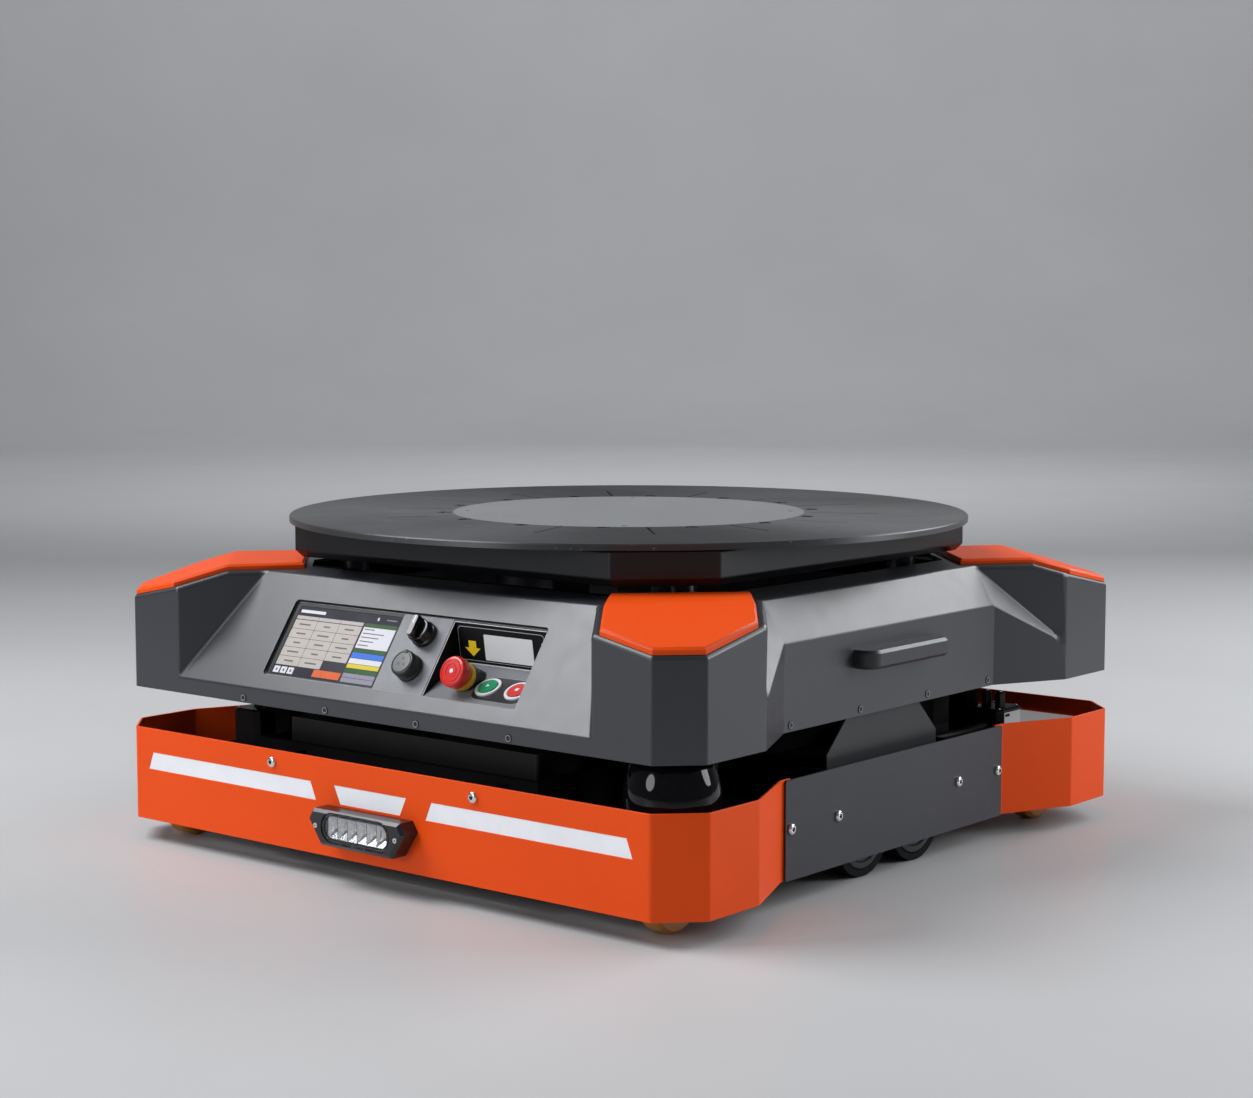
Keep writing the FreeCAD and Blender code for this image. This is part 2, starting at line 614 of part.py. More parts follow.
def make_side_brackets():
    """Sheet brackets that stand on the drive bays and carry the side rails."""
    brackets = []
    for side, turn in (("right", 0), ("left", 180)):
        body = new_body("side_bracket_" + side)
        face = sketch_on(body, f"side_bracket_{side}_face", "YZ_Plane", "bracket_x - bracket_gauge")
        right = [("bracket_half", "bay_lid + 0.1"), ("bracket_half", "bracket_knee"),
                 ("bracket_top_half", "rail_low - 4"), ("bracket_top_half", "rail_low - 0.1")]
        left = [(f"-{across}", up) for across, up in reversed(right)]
        polygon(face, right + left)
        pad(body, face, "bracket_gauge")
        foot = sketch_on(body, f"side_bracket_{side}_foot", "YZ_Plane", "bracket_x - 40")
        polygon(foot, [("-bracket_half", "bay_lid + 0.1"), ("bracket_half", "bay_lid + 0.1"),
                       ("bracket_half", "bay_lid + 4"), ("-bracket_half", "bay_lid + 4")])
        pad(body, foot, "40 - bracket_gauge / 2")
        brackets.append(place(body, angle=turn))
    return node(group("side_brackets", brackets), "side_brackets")


def make_battery_and_cabinet():
    low = "tub_bottom + plate + 0.1"
    battery = box("battery_case", ("-store_half", "store_half"), ("store_near", "store_far"),
                  (low, "battery_top"))
    node(rounded("battery_pack", battery, "store_round", upright), "battery_pack")
    cabinet = box("cabinet_case", ("-store_half", "store_half"), ("-store_far", "-store_near"),
                  (low, "cabinet_top"))
    node(rounded("control_cabinet", cabinet, "store_round", upright), "control_cabinet")


def make_junction_boxes():
    boxes = []
    for tag, turn in (("rear", 0), ("front", 180)):
        body = new_body("junction_box_" + tag)
        base = sketch_on(body, f"junction_{tag}_outline", height="deck_low + plate + 0.1")
        polygon(base, [("box_x_low", "box_y_low"), ("box_x_high", "box_y_low"),
                       ("box_x_high", "box_y_high"), ("box_x_low", "box_y_high")])
        pad(body, base, "box_high - deck_low - plate")
        soften(body, "Chamfer", "box_round", upright)
        top = number("box_high + 0.1")
        soften(body, "Chamfer", "3", lambda e, top=top: level(e, top))
        boxes.append(place(body, angle=turn))
        for step in ("0", "22"):
            gland = doc.addObject("Part::Prism", f"gland_{tag}_{step}")
            bind(gland, Circumradius="gland_radius", Height="gland_rise")
            way = "1" if turn == 0 else "-1"
            place(gland, f"{way} * (box_x_high - 38 + {step})", f"{way} * (box_y_low + 24)",
                  "box_high + 0.2")
            boxes.append(gland)
    return node(group("junction_boxes", boxes), "junction_boxes")


def tangent_path(points, radii):
    """Straight runs through the points, with a tangent arc at each inner point."""
    edges = []
    start = points[0]
    for before, corner, after, radius in zip(points, points[1:], points[2:], radii):
        back = (before - corner).normalize()
        ahead = (after - corner).normalize()
        half_turn = (math.pi - back.getAngle(ahead)) / 2
        trim = radius * math.tan(half_turn)
        entry = corner + back * trim
        leave = corner + ahead * trim
        bisector = (back + ahead).normalize()
        middle = corner + bisector * (radius / math.cos(half_turn) - radius)
        edges.append(Part.LineSegment(start, entry).toShape())
        edges.append(Part.Arc(entry, middle, leave).toShape())
        start = leave
    edges.append(Part.LineSegment(start, points[-1]).toShape())
    return Part.Wire(edges)


def make_conduits():
    """An eight-sided conduit from each junction box to the wall of the drive bay beside it."""
    radius = number("conduit_radius")
    x_mid = number("box_x_high - 25")
    high, straight = number("conduit_z"), number("conduit_straight")
    start = Vector(x_mid, number("box_y_low - 0.2"), high)
    end = Vector(x_mid, number("bay_half + 0.2"), high)
    sag = Vector(number("conduit_sway"), 0, 0)
    middle = (start + end) / 2 + sag
    route = [start, start - Vector(0, straight, 0), middle, end + Vector(0, straight, 0), end]
    radii = []
    for before, corner, after in zip(route, route[1:], route[2:]):
        run = min((corner - before).Length, (after - corner).Length)
        half_turn = (corner - before).getAngle(after - corner) / 2
        radii.append(0.45 * run / math.tan(half_turn))
    path = tangent_path(route, radii)
    corners = [Vector(radius * math.cos(i * math.pi / 4), 0, radius * math.sin(i * math.pi / 4))
               for i in range(9)]
    ring = Part.makePolygon([route[0] + corner for corner in corners])
    tube = path.makePipeShell([ring], True, True)
    pieces = []
    for tag, turn in (("rear", 0), ("front", 180)):
        pieces.append(place(coded("conduit_" + tag, tube), angle=turn))
    return node(group("cable_conduits", pieces), "cable_conduits")


def make_scanners():
    """Safety scanners: a foot and a cap with the dark curved window between them."""
    bodies, windows = [], []
    for tag, sign, turn in (("front", "1", 0), ("rear", "-1", 180)):
        foot = turned("scanner_foot_" + tag, [
            ("0", "deck_low + plate + 0.1"), ("scanner_radius - 3", "deck_low + plate + 0.1"),
            ("scanner_radius - 1", "scanner_low"), ("0", "scanner_low")])
        cap = turned("scanner_cap_" + tag, [
            ("0", "scanner_high"), ("scanner_neck", "scanner_high"),
            ("scanner_neck - 2", "scanner_cap"), ("0", "scanner_cap")])
        window = new_body("scanner_window_" + tag)
        dome = sketch_on(window, f"scanner_window_{tag}_profile", "XZ_Plane")
        rims = [("0", "scanner_low + 0.1"), ("scanner_radius - 1.5", "scanner_low + 0.1"),
                ("scanner_neck", "scanner_high - 0.1"), ("0", "scanner_high - 0.1")]
        corners = [Vector(number(across), number(up), 0) for across, up in rims]
        belly = Vector(number("scanner_radius"), number("scanner_belly"), 0)
        dome.addGeometry(Part.LineSegment(corners[0], corners[1]))
        dome.addGeometry(Part.Arc(corners[1], belly, corners[2]))
        dome.addGeometry(Part.LineSegment(corners[2], corners[3]))
        dome.addGeometry(Part.LineSegment(corners[3], corners[0]))
        for i, (across, up) in enumerate(rims):
            dome.addConstraint(Sketcher.Constraint("Coincident", i, 2, (i + 1) % 4, 1))
            drive_point(dome, i, 1, across, up)
        revolve(window, dome)
        for piece in (foot, cap, window):
            place(piece, f"{sign} * scanner_x", f"-({sign}) * scanner_y", "0", angle=turn)
        bodies += [foot, cap]
        windows.append(window)
    node(group("scanner_bodies", bodies), "scanner_bodies")
    node(group("scanner_windows", windows), "scanner_windows")


# ---------------------------------------------------------------- moulded cover and corner caps

def beyond(shape, point, normal):
    """What of shape lies on the side of a plane that its normal points to."""
    keep = Part.makeBox(FAR, FAR, FAR, Vector(-FAR / 2, -FAR / 2, 0))
    keep.Placement = Placement(point, Rotation(Vector(0, 0, 1), normal))
    return shape.common(keep)


def plane_through(first, second, third, towards):
    """A point and unit normal of the plane through three points, on the side of towards."""
    normal = (second - first).cross(third - first).normalize()
    if normal.dot(towards) < 0:
        normal = normal * -1
    return first, normal


def inset_outline(points, distance):
    """A closed counter-clockwise outline with every side moved inwards by distance."""
    lines = []
    for here, after in zip(points, points[1:] + points[:1]):
        way = (after - here).normalize()
        inward = Vector(-way.y, way.x, 0)
        lines.append((here + inward * distance, way))
    moved = []
    for (spot, way), (next_spot, next_way) in zip(lines[-1:] + lines[:-1], lines):
        gap = next_spot - spot
        reach = gap.cross(next_way).z / way.cross(next_way).z
        moved.append(spot + way * reach)
    return moved


def prism(points, low, high):
    base = [Vector(p.x, p.y, low) for p in points]
    return Part.Face(Part.makePolygon(base + base[:1])).extrude(Vector(0, 0, high - low))


def cover_outline():
    """Plan of the cover, counter-clockwise, with the drawn-in middle of each side."""
    corner_y = number("cover_half_y - cover_chamfer")
    corner_x = number("cover_half_x - cover_chamfer")
    half_x, half_y = number("cover_half_x"), number("cover_half_y")
    flank, inset, waist = number("flank_half"), number("inset_x"), number("inset_half")
    quarter = [Vector(inset, waist, 0), Vector(half_x, flank, 0), Vector(half_x, corner_y, 0),
               Vector(corner_x, half_y, 0)]
    rear = quarter + [Vector(-p.x, p.y, 0) for p in reversed(quarter)]
    return rear + [Vector(-p.x, -p.y, 0) for p in rear]


def side_scoop_planes(sign, grow):
    """Planes that bound the hollow over a side: slope, two facets and two end walls."""
    waist, slope_half = number("inset_half"), number("side_slope_half")
    planes = [plane_through(Vector(sign * number("inset_x"), -waist, number("side_slope_z")),
                            Vector(sign * number("inset_x"), waist, number("side_slope_z")),
                            Vector(sign * number("side_slope_x"), 0, number("deck_top")),
                            Vector(sign, 0, 1))]
    for end in (1, -1):
        tip = Vector(sign * number("cover_half_x"), end * number("tip_y"), number("tip_z"))
        bend = Vector(sign * number("inset_x"), end * waist, number("side_slope_z"))
        top = Vector(sign * number("side_slope_x"), end * slope_half, number("deck_top"))
        crest = Vector(tip.x, end * number("wall_top_y"), number("wall_top_z"))
        planes.append(plane_through(tip, bend, top, Vector(0, 0, 1)))
        planes.append(plane_through(tip, crest, top, Vector(0, -end, 0)))
    return [(point - normal * grow, normal) for point, normal in planes]


def end_scoop_planes(sign, grow):
    """Planes that bound the hollow over an end: the sloping face and two upright walls."""
    low_half, top_half = number("face_low_half"), number("face_top_half")
    low_y, top_y = sign * number("cover_half_y"), sign * number("face_top_y")
    planes = [plane_through(Vector(0, low_y, number("face_low_z")),
                            Vector(1, low_y, number("face_low_z")),
                            Vector(0, top_y, number("deck_top")), Vector(0, sign, 1))]
    for side in (1, -1):
        planes.append(plane_through(Vector(side * low_half, low_y, 0),
                                    Vector(side * low_half, low_y, 1),
                                    Vector(side * top_half, top_y, 0), Vector(-side, 0, 0)))
    return [(point - normal * grow, normal) for point, normal in planes]


def corner_plane(side, end, rise):
    """Sloping top of a corner, raised by rise along its normal."""
    spot = number("fold_distance") / math.sqrt(2)
    fall = number("corner_fall") / math.sqrt(2)
    normal = Vector(side * fall, end * fall, 1).normalize()
    return Vector(side * spot, end * spot, number("deck_top")) + normal * rise, normal


def cover_form(grow):
    """The faceted form of the cover, with every face moved inwards by grow."""
    low = number("cover_bottom") - grow
    form = prism(inset_outline(cover_outline(), grow), low, number("deck_top") - grow)
    for side in (1, -1):
        for end in (1, -1):
            point, normal = corner_plane(side, end, -grow)
            form = beyond(form, point, normal * -1)
        for planes in (side_scoop_planes(side, grow), end_scoop_planes(side, grow)):
            scoop = Part.makeBox(FAR, FAR, FAR, Vector(-FAR / 2, -FAR / 2, -FAR / 2))
            for point, normal in planes:
                scoop = beyond(scoop, point, normal)
            form = form.cut(scoop)
    return form.removeSplitter()


PANEL_TILT = "atan((deck_top - face_low_z) / (cover_half_y - face_top_y))"
SHELF_FALL = "atan((insert_face - crease_out) / (crease_up - shelf_low))"


def on_face(obj, across="0", up="0", out="0", tilt=PANEL_TILT):
    """Place obj in the frame of the sloping face: across, up the slope and outwards.

    Its own Z axis leans by tilt, which makes it stand square on the face by default.
    """
    run, rise = f"cos({PANEL_TILT})", f"sin({PANEL_TILT})"
    place(obj, across, f"({up}) * {run} - ({out}) * {rise} - cover_half_y",
          f"({up}) * {rise} + ({out}) * {run} + face_low_z")
    obj.Placement = Placement(obj.Placement.Base, Rotation(Vector(1, 0, 0), number(tilt)))
    return obj


def on_shelf(obj, across, up):
    """Place obj square on the shelf of the pocket, up being measured along the shelf."""
    return on_face(obj, across, f"shelf_low + ({up}) * cos({SHELF_FALL})",
                   f"insert_face - ({up}) * sin({SHELF_FALL})", f"{PANEL_TILT} - {SHELF_FALL}")


def on_stop_axis(obj):
    """Place obj on the leaning axis of the emergency stop."""
    return on_face(obj, "estop_across", "estop_up", "estop_out", "estop_tilt * 1 deg")


def face_block(left, right, low, high, back, front, radius):
    """A rounded block in the frame of the sloping face, as a shape."""
    block = Part.makeBox(right - left, high - low, front - back, Vector(left, low, back))
    block = block.makeFillet(radius, [e for e in block.Edges if upright(e)])
    tilt = number(PANEL_TILT)
    block.Placement = Placement(Vector(0, -number("cover_half_y"), number("face_low_z")),
                                Rotation(Vector(1, 0, 0), tilt))
    return block


def make_upper_cover():
    """Thin moulded shell: outer facets with soft edges, less the same facets set inwards."""
    outer = cover_form(0)
    bottom = number("cover_bottom")
    edges = [e for e in outer.Edges if not level(e, bottom)]
    outer = outer.makeFillet(number("mould_radius"), edges)
    shell = outer.cut(cover_form(number("cover_wall")))
    half, trim = number("deck_opening_half"), number("deck_opening_cut")
    corner = [Vector(half, half - trim, 0), Vector(half - trim, half, 0)]
    opening = corner + [Vector(-p.x, p.y, 0) for p in reversed(corner)]
    opening += [Vector(-p.x, -p.y, 0) for p in opening]
    shell = shell.cut(prism(opening, number("deck_top") - 20, number("deck_top") + 20))
    window = face_block(*(number(a) for a in ("opening_left", "opening_right", "opening_low",
                                              "opening_high")), -15, 15, number("opening_round"))
    shell = shell.cut(window)
    return node(coded("upper_cover", shell), "upper_cover")


def make_corner_caps():
    """Folded plates that sit on the corners of the cover."""
    caps = []
    rise, gap, inset = (number(a) for a in ("cap_rise", "cap_gap", "cap_inset"))
    side_inset = number("cap_side_inset")
    for tag, side, end in (("fr", 1, -1), ("fl", -1, -1), ("rr", 1, 1), ("rl", -1, 1)):
        plan = prism(inset_outline(cover_outline(), inset), number("cover_bottom"),
                     number("deck_top") + rise)
        point, normal = corner_plane(side, end, rise)
        cap = beyond(plan, point, normal * -1)
        under_point, under_normal = corner_plane(side, end, gap)
        flat_part = beyond(prism(inset_outline(cover_outline(), -FAR / 100), 0,
                                 number("deck_top") + gap), under_point, under_normal * -1)
        cap = cap.cut(flat_part)
        end_wall = end_scoop_planes(end, side_inset)[1 if side > 0 else 2]
        side_wall = side_scoop_planes(side, side_inset)[2 if end > 0 else 4]
        for spot, way in (end_wall, side_wall):
            flat_way = Vector(way.x, way.y, 0).normalize()
            cap = beyond(cap, spot, flat_way * -1)
        inner = Vector(side, end, 0).normalize()
        cap = beyond(cap, inner * number("cap_inner_distance"), inner)
        cap = cap.removeSplitter()
        top_edges = [e for e in cap.Edges if cap_rim(e, point, normal)]
        cap = cap.makeChamfer(number("cap_edge_radius"), top_edges)
        caps.append(coded("corner_cap_" + tag, cap))
    return node(group("corner_caps", caps), "corner_caps")


def cap_rim(edge, point, normal):
    """Whether an edge bounds the top of a corner cap, flat part or sloping part."""
    top = number("deck_top + cap_rise")
    on_slope = all(abs((v.Point - point).dot(normal)) < 0.01 for v in edge.Vertexes)
    return level(edge, top) or on_slope


def make_handles():
    """Bow handles on the drawn-in sides: closed on top, with room for fingers from below."""
    handles = []
    for side, turn in (("right", 0), ("left", 180)):
        body = new_body("handle_" + side)
        bow = sketch_on(body, f"handle_{side}_bow", height="handle_low")
        polygon(bow, [("inset_x + 0.1", "-handle_half"),
                      ("inset_x + handle_reach", "-handle_half"),
                      ("inset_x + handle_reach", "handle_half"),
                      ("inset_x + 0.1", "handle_half"),
                      ("inset_x + 0.1", "handle_half - handle_leg"),
                      ("inset_x + handle_reach - handle_bar", "handle_half - handle_leg"),
                      ("inset_x + handle_reach - handle_bar", "handle_leg - handle_half"),
                      ("inset_x + 0.1", "handle_leg - handle_half")])
        pad(body, bow, "handle_tall")
        tip = number("inset_x + handle_reach")
        gap = number("inset_x + handle_reach - handle_bar")
        soften(body, "Fillet", "handle_round", lambda e: upright(e)
               and abs(e.BoundBox.XMin - tip) < 0.01)
        soften(body, "Fillet", "7", lambda e: upright(e) and abs(e.BoundBox.XMin - gap) < 0.01)
        low, high = number("handle_low"), number("handle_low + handle_tall")
        soften(body, "Chamfer", "handle_edge", lambda e: (level(e, low) or level(e, high))
               and e.BoundBox.XMax > tip - 0.1 and e.BoundBox.YLength > 60)
        web = sketch_on(body, f"handle_{side}_web", height="handle_low + handle_tall - handle_web")
        polygon(web, [("inset_x + 0.1", "handle_leg - handle_half - 1"),
                      ("inset_x + handle_reach - handle_bar + 1", "handle_leg - handle_half - 1"),
                      ("inset_x + handle_reach - handle_bar + 1", "handle_half - handle_leg + 1"),
                      ("inset_x + 0.1", "handle_half - handle_leg + 1")])
        pad(body, web, "handle_web")
        handles.append(place(body, angle=turn))
    return node(group("side_handles", handles), "side_handles")


# ---------------------------------------------------------------- control panel

def face_sketch(body, name, left, right, low, high, height):
    sketch = sketch_on(body, name, height=height)
    polygon(sketch, [(left, low), (right, low), (right, high), (left, high)])
    return sketch


def make_control_plate():
    """Insert behind the cover's opening, with a display seat and a wedge-shaped pocket."""
    body = new_body("control_insert")
    lip = face_sketch(body, "insert_lip_outline", "opening_left - insert_lip",
                      "opening_right + insert_lip", "opening_low - insert_lip",
                      "opening_high + insert_lip", "insert_back")
    pad(body, lip, "-insert_back - cover_wall - 0.2")
    face = face_sketch(body, "insert_face_outline", "opening_left + insert_gap",
                       "opening_right - insert_gap", "opening_low + insert_gap",
                       "opening_high - insert_gap", "-cover_wall - 1.2")
    pad(body, face, "insert_face + cover_wall + 1.2")
    soften(body, "Fillet", "opening_round", lambda e: upright(e)
           and abs(e.BoundBox.ZMax - number("insert_face")) < 0.01)
    seat = face_sketch(body, "display_seat", "display_left", "display_right", "display_low",
                       "display_high", "insert_face")
    pocket(body, seat, "insert_face - display_floor")
    shell = sketch_on(body, "well_shell", "YZ_Plane", "well_left - well_margin")
    polygon(shell, [("crease_up - well_near", "insert_back + 1"),
                    ("crease_up", "crease_out - well_wall"),
                    ("crease_up + well_far", "insert_back + 1")])
    pad(body, shell, "opening_right - well_left + well_margin")
    well = sketch_on(body, "well_hollow", "YZ_Plane", "opening_right - well_margin")
    polygon(well, [("shelf_low", "insert_face"), ("crease_up", "crease_out"),
                   ("shelf_high", "insert_face"), ("shelf_high", "insert_face + 1"),
                   ("shelf_low", "insert_face + 1")])
    pocket(body, well, "opening_right - well_margin - well_left")
    bores = []
    for label, row in (("selector", "selector_up"), ("port", "port_up")):
        bores.append(on_face(make_drill(label), "knob_across", row))
    for label in ("start", "stop"):
        bores.append(on_shelf(make_drill(label), f"{label}_across", "button_row"))
    bores.append(on_stop_axis(make_drill("estop")))
    return node(cut("control_plate_bored", on_face(body), bores), "control_plate")


def make_drill(label):
    """A round bar through the plate that clears the stem of a control."""
    return turned(label + "_drill", [("0", "-drill_half"), ("control_hole", "-drill_half"),
                                     ("control_hole", "drill_half"), ("0", "drill_half")])


def make_display():
    body = new_body("display_bezel")
    frame = face_sketch(body, "bezel_outline", "display_left + 0.2", "display_right - 0.2",
                        "display_low + 0.2", "display_high - 0.2", "display_floor + 0.1")
    pad(body, frame, "display_face - display_floor - 0.1")
    seat = face_sketch(body, "glass_seat", "display_left + glass_left_margin",
                       "display_right - glass_margin", "display_low + glass_margin",
                       "display_high - glass_top_margin", "display_face")
    pocket(body, seat, "glass_depth + 0.1")
    node(on_face(body), "display_bezel")
    glass = new_body("display_glass")
    pane = face_sketch(glass, "glass_outline", "display_left + glass_left_margin + 0.2",
                       "display_right - glass_margin - 0.2", "display_low + glass_margin + 0.2",
                       "display_high - glass_top_margin - 0.2", "display_face - glass_depth")
    pad(glass, pane, "glass_depth - 0.2")
    node(on_face(glass), "display_glass")


def make_estop():
    """Mushroom head on a barrel that leans out of the shelf, over a wider collar."""
    barrel = turned("estop_barrel", [
        ("stem_radius + 0.4", "-estop_barrel"), ("estop_barrel", "-estop_barrel"),
        ("estop_barrel", "estop_collar_low"), ("estop_collar_radius", "estop_collar_low"),
        ("estop_collar_radius - 1", "estop_collar_top"), ("stem_radius + 0.4", "estop_collar_top")])
    below = turned("below_shelf", [
        ("0", "-drill_half"), ("3 * estop_barrel", "-drill_half"), ("3 * estop_barrel", "0.1"),
        ("0", "0.1")])
    below = on_shelf(below, "estop_across", "button_row")
    node(cut("estop_barrel_seated", on_stop_axis(barrel), [below]), "estop_collar")
    head = turned("estop_button", [
        ("0", "stem_low"), ("stem_radius - 0.1", "stem_low"),
        ("stem_radius - 0.1", "estop_collar_top + estop_travel + 0.5"),
        ("estop_head_radius - 1", "estop_collar_top + estop_travel + 0.5"),
        ("estop_head_radius", "estop_top - 4"), ("estop_head_radius - 3", "estop_top"),
        ("0", "estop_top")])
    node(on_stop_axis(head), "estop_button")


def make_push_buttons():
    """Two flat push buttons in white rings, square on the shelf."""
    rings = []
    for label in ("start", "stop"):
        ring = turned(f"{label}_ring", [
            ("button_ring_bore", "0.1"), ("button_ring_radius", "0.1"),
            ("button_ring_radius - 1", "button_ring_rise"), ("button_ring_bore", "button_ring_rise")])
        rings.append(on_shelf(ring, f"{label}_across", "button_row"))
        button = turned(f"{label}_button", [
            ("0", "stem_low"), ("stem_radius - 0.1", "stem_low"),
            ("stem_radius - 0.1", "button_travel + 0.4"), ("button_radius", "button_travel + 0.4"),
            ("button_radius - 1", "button_ring_rise + 2"), ("0", "button_ring_rise + 2")])
        node(on_shelf(button, f"{label}_across", "button_row"), f"{label}_button")
    return node(group("button_rings", rings), "button_rings")


def make_selector():
    """Round key switch with a raised grip bar across its face."""
    body = turned("selector_knob", [
        ("0", "insert_back"), ("stem_radius - 0.1", "insert_back"),
        ("stem_radius - 0.1", "insert_face + 0.5"), ("knob_radius", "insert_face + 0.5"),
        ("knob_radius", "insert_face + knob_rise * 0.55"),
        ("knob_radius - 2", "insert_face + knob_rise * 0.62"),
        ("0", "insert_face + knob_rise * 0.62")])
    grip = sketch_on(body, "selector_grip", height="insert_face + knob_rise * 0.6")
    polygon(grip, [("-4", "5 - knob_radius"), ("4", "5 - knob_radius"), ("4", "knob_radius - 1"),
                   ("-4", "knob_radius - 1")])
    pad(body, grip, "knob_rise * 0.4")
    node(on_face(body, "knob_across", "selector_up"), "selector_knob")


def make_port_cap():
    """Screw cap of the service port, with a finger notch."""
    body = turned("port_cap", [
        ("0", "insert_back"), ("stem_radius - 0.1", "insert_back"),
        ("stem_radius - 0.1", "insert_face + 0.5"), ("port_radius", "insert_face + 0.5"),
        ("port_radius", "insert_face + port_rise - 5"),
        ("port_radius - 1.5", "insert_face + port_rise - 4"),
        ("port_radius - 2.5", "insert_face + port_rise"), ("0", "insert_face + port_rise")])
    notch = sketch_on(body, "port_notch", height="insert_face + port_rise")
    polygon(notch, [("-3", "port_radius - 5"), ("3", "port_radius - 5"), ("3", "port_radius + 2"),
                    ("-3", "port_radius + 2")])
    pocket(body, notch, "4")
    node(on_face(body, "knob_across", "port_up"), "port_cap")


# ---------------------------------------------------------------- lift and turntable

def octagon(sketch, half_x, half_y, trim):
    quarter = [(half_x, f"{half_y} - {trim}"), (f"{half_x} - {trim}", half_y)]
    rear = quarter + [(f"-({a})", b) for a, b in reversed(quarter)]
    polygon(sketch, rear + [(f"-({a})", f"-({b})") for a, b in rear])


def make_pan():
    """Eight-sided tray that the lift raises; it carries the slewing ring."""
    body = new_body("lift_platform")
    outline = sketch_on(body, "pan_outline", height="pan_bottom")
    octagon(outline, "pan_half_x", "pan_half_y", "pan_cut")
    pad(body, outline, "pan_top - pan_bottom")
    bottom = number("pan_bottom")
    soften(body, "Chamfer", "pan_round", lambda e: level(e, bottom))
    inside = sketch_on(body, "pan_inside", height="pan_top")
    octagon(inside, "pan_half_x - pan_wall", "pan_half_y - pan_wall", "pan_cut")
    pocket(body, inside, "pan_top - pan_bottom - pan_floor")
    hole = sketch_on(body, "pan_holes", height="pan_bottom + pan_floor")
    circle(hole, "pan_hole_radius")
    circle(hole, "pinion_shaft_radius + 2", "-(ring_teeth - pinion_teeth) * gear_module / 2", "0")
    pocket(body, hole, "pan_floor + 5")
    return node(body, "lift_platform")


def make_lift():
    """Guide columns on the corner decks, and the rods that carry the pan."""
    housings, rods = [], []
    for side in SIGNS:
        for end in SIGNS:
            mark = f"{len(rods)}"
            spot = (f"{side} * column_x", f"{end} * column_y")
            tube = box("column_" + mark, *((f"{along} - column_radius", f"{along} + column_radius")
                                           for along in spot),
                       ("deck_low + plate + 0.1", "column_top"))
            bore = cylinder("column_bore_" + mark, "rod_radius + rod_gap", "rod_low - 20",
                            "column_top + 10", *spot)
            housings.append(cut("column_housing_" + mark, tube, [bore]))
            rods.append(cylinder("rod_" + mark, "rod_radius", "rod_low", "pan_bottom - 0.05", *spot))
    node(group("lift_columns", housings), "lift_columns")
    node(group("lift_rods", rods), "lift_rods")


def make_race():
    """Fixed outer ring of the slewing bearing, bolted down inside the pan."""
    tube = turned("slewing_ring_outer", [
        ("race_bore_radius", "pan_bottom + pan_floor + 0.1"),
        ("race_outer_radius", "pan_bottom + pan_floor + 0.1"),
        ("race_outer_radius", "race_top"),
        ("race_bore_radius", "race_top")])
    return node(tube, "slewing_ring_outer")


def involute(base_radius, radius):
    """Polar angle of the involute of a base circle where it reaches a radius."""
    if radius <= base_radius:
        return 0.0
    roll = math.sqrt((radius / base_radius) ** 2 - 1)
    return roll - math.atan(roll)


def gear_outline(teeth, root_radius, tip_radius, slack, steps):
    """External gear outline with involute flanks, thinner by slack on each flank.

    steps is the number of straight pieces that each flank is drawn with above the root.
    """
    module = number("gear_module")
    pitch = teeth * module / 2
    base = pitch * math.cos(math.radians(20))
    half_tooth = math.pi / (2 * teeth) - slack / pitch + involute(base, pitch)
    start = max(base, root_radius)
    radii = [start + (tip_radius - start) * i / steps for i in range(steps + 1)]
    if start > root_radius:
        radii.insert(0, root_radius)
    flank = [(radius, half_tooth - involute(base, radius)) for radius in radii]
    points = []
    for tooth in range(teeth):
        middle = 2 * math.pi * tooth / teeth
        for radius, reach in flank:
            points.append(polar(radius, middle - reach))
        for radius, reach in reversed(flank):
            points.append(polar(radius, middle + reach))
    return points


def polar(radius, angle, height=0.0):
    return Vector(radius * math.cos(angle), radius * math.sin(angle), height)


def make_ring_gear():
    """Rotating inner ring of the slewing bearing, toothed on its inside."""
    module, teeth = number("gear_module"), int(number("ring_teeth"))
    pitch = teeth * module / 2
    low, high = number("ring_low"), number("disc_low") - 0.1
    blank = Part.makeCylinder(number("ring_outer_radius"), high - low, Vector(0, 0, low))
    spaces = gear_outline(teeth, pitch - module, pitch + 1.25 * module, -number("tooth_slack"), 1)
    hollow = prism(spaces, low - 1, high + 1)
    return node(coded("slewing_ring_gear", blank.cut(hollow)), "slewing_ring_gear")


def make_pinion():
    """Pinion on its shaft, in mesh with the ring on the -X side."""
    module, teeth = number("gear_module"), int(number("pinion_teeth"))
    pitch = teeth * module / 2
    centre = -(number("ring_teeth") * module / 2 - pitch)
    outline = gear_outline(teeth, pitch - 1.25 * module, pitch + 0.95 * module, 0, 3)
    low, high = number("pinion_low"), number("pinion_top")
    gear = prism(outline, low, high)
    shaft_low = number("pinion_shaft_low")
    shaft = Part.makeCylinder(number("pinion_shaft_radius"), low - shaft_low + 1,
                              Vector(0, 0, shaft_low))
    pinion = coded("drive_pinion", gear.fuse(shaft).removeSplitter())
    pinion.Placement = Placement(Vector(centre, 0, 0), Rotation())
    return node(pinion, "drive_pinion")


def make_turntable_motor():
    """Gearmotor hung under the pan, with a square flange and a bore for the pinion shaft."""
    centre = "-(ring_teeth - pinion_teeth) * gear_module / 2"
    barrel = cylinder("motor_barrel", "motor_radius", "motor_low", "pan_bottom - 12", centre)
    flange = box("motor_flange_plate", (f"{centre} - motor_flange", f"{centre} + motor_flange"),
                 ("-motor_flange", "motor_flange"), ("pan_bottom - 13", "pan_bottom - 0.1"))
    bore = cylinder("motor_bore", "pinion_shaft_radius + shaft_gap", "pinion_shaft_low - 2",
                    "pan_bottom + 5", centre)
    motor = cut("turntable_motor", fuse("motor_solid", [barrel, flange]), [bore])
    return node(motor, "turntable_motor")


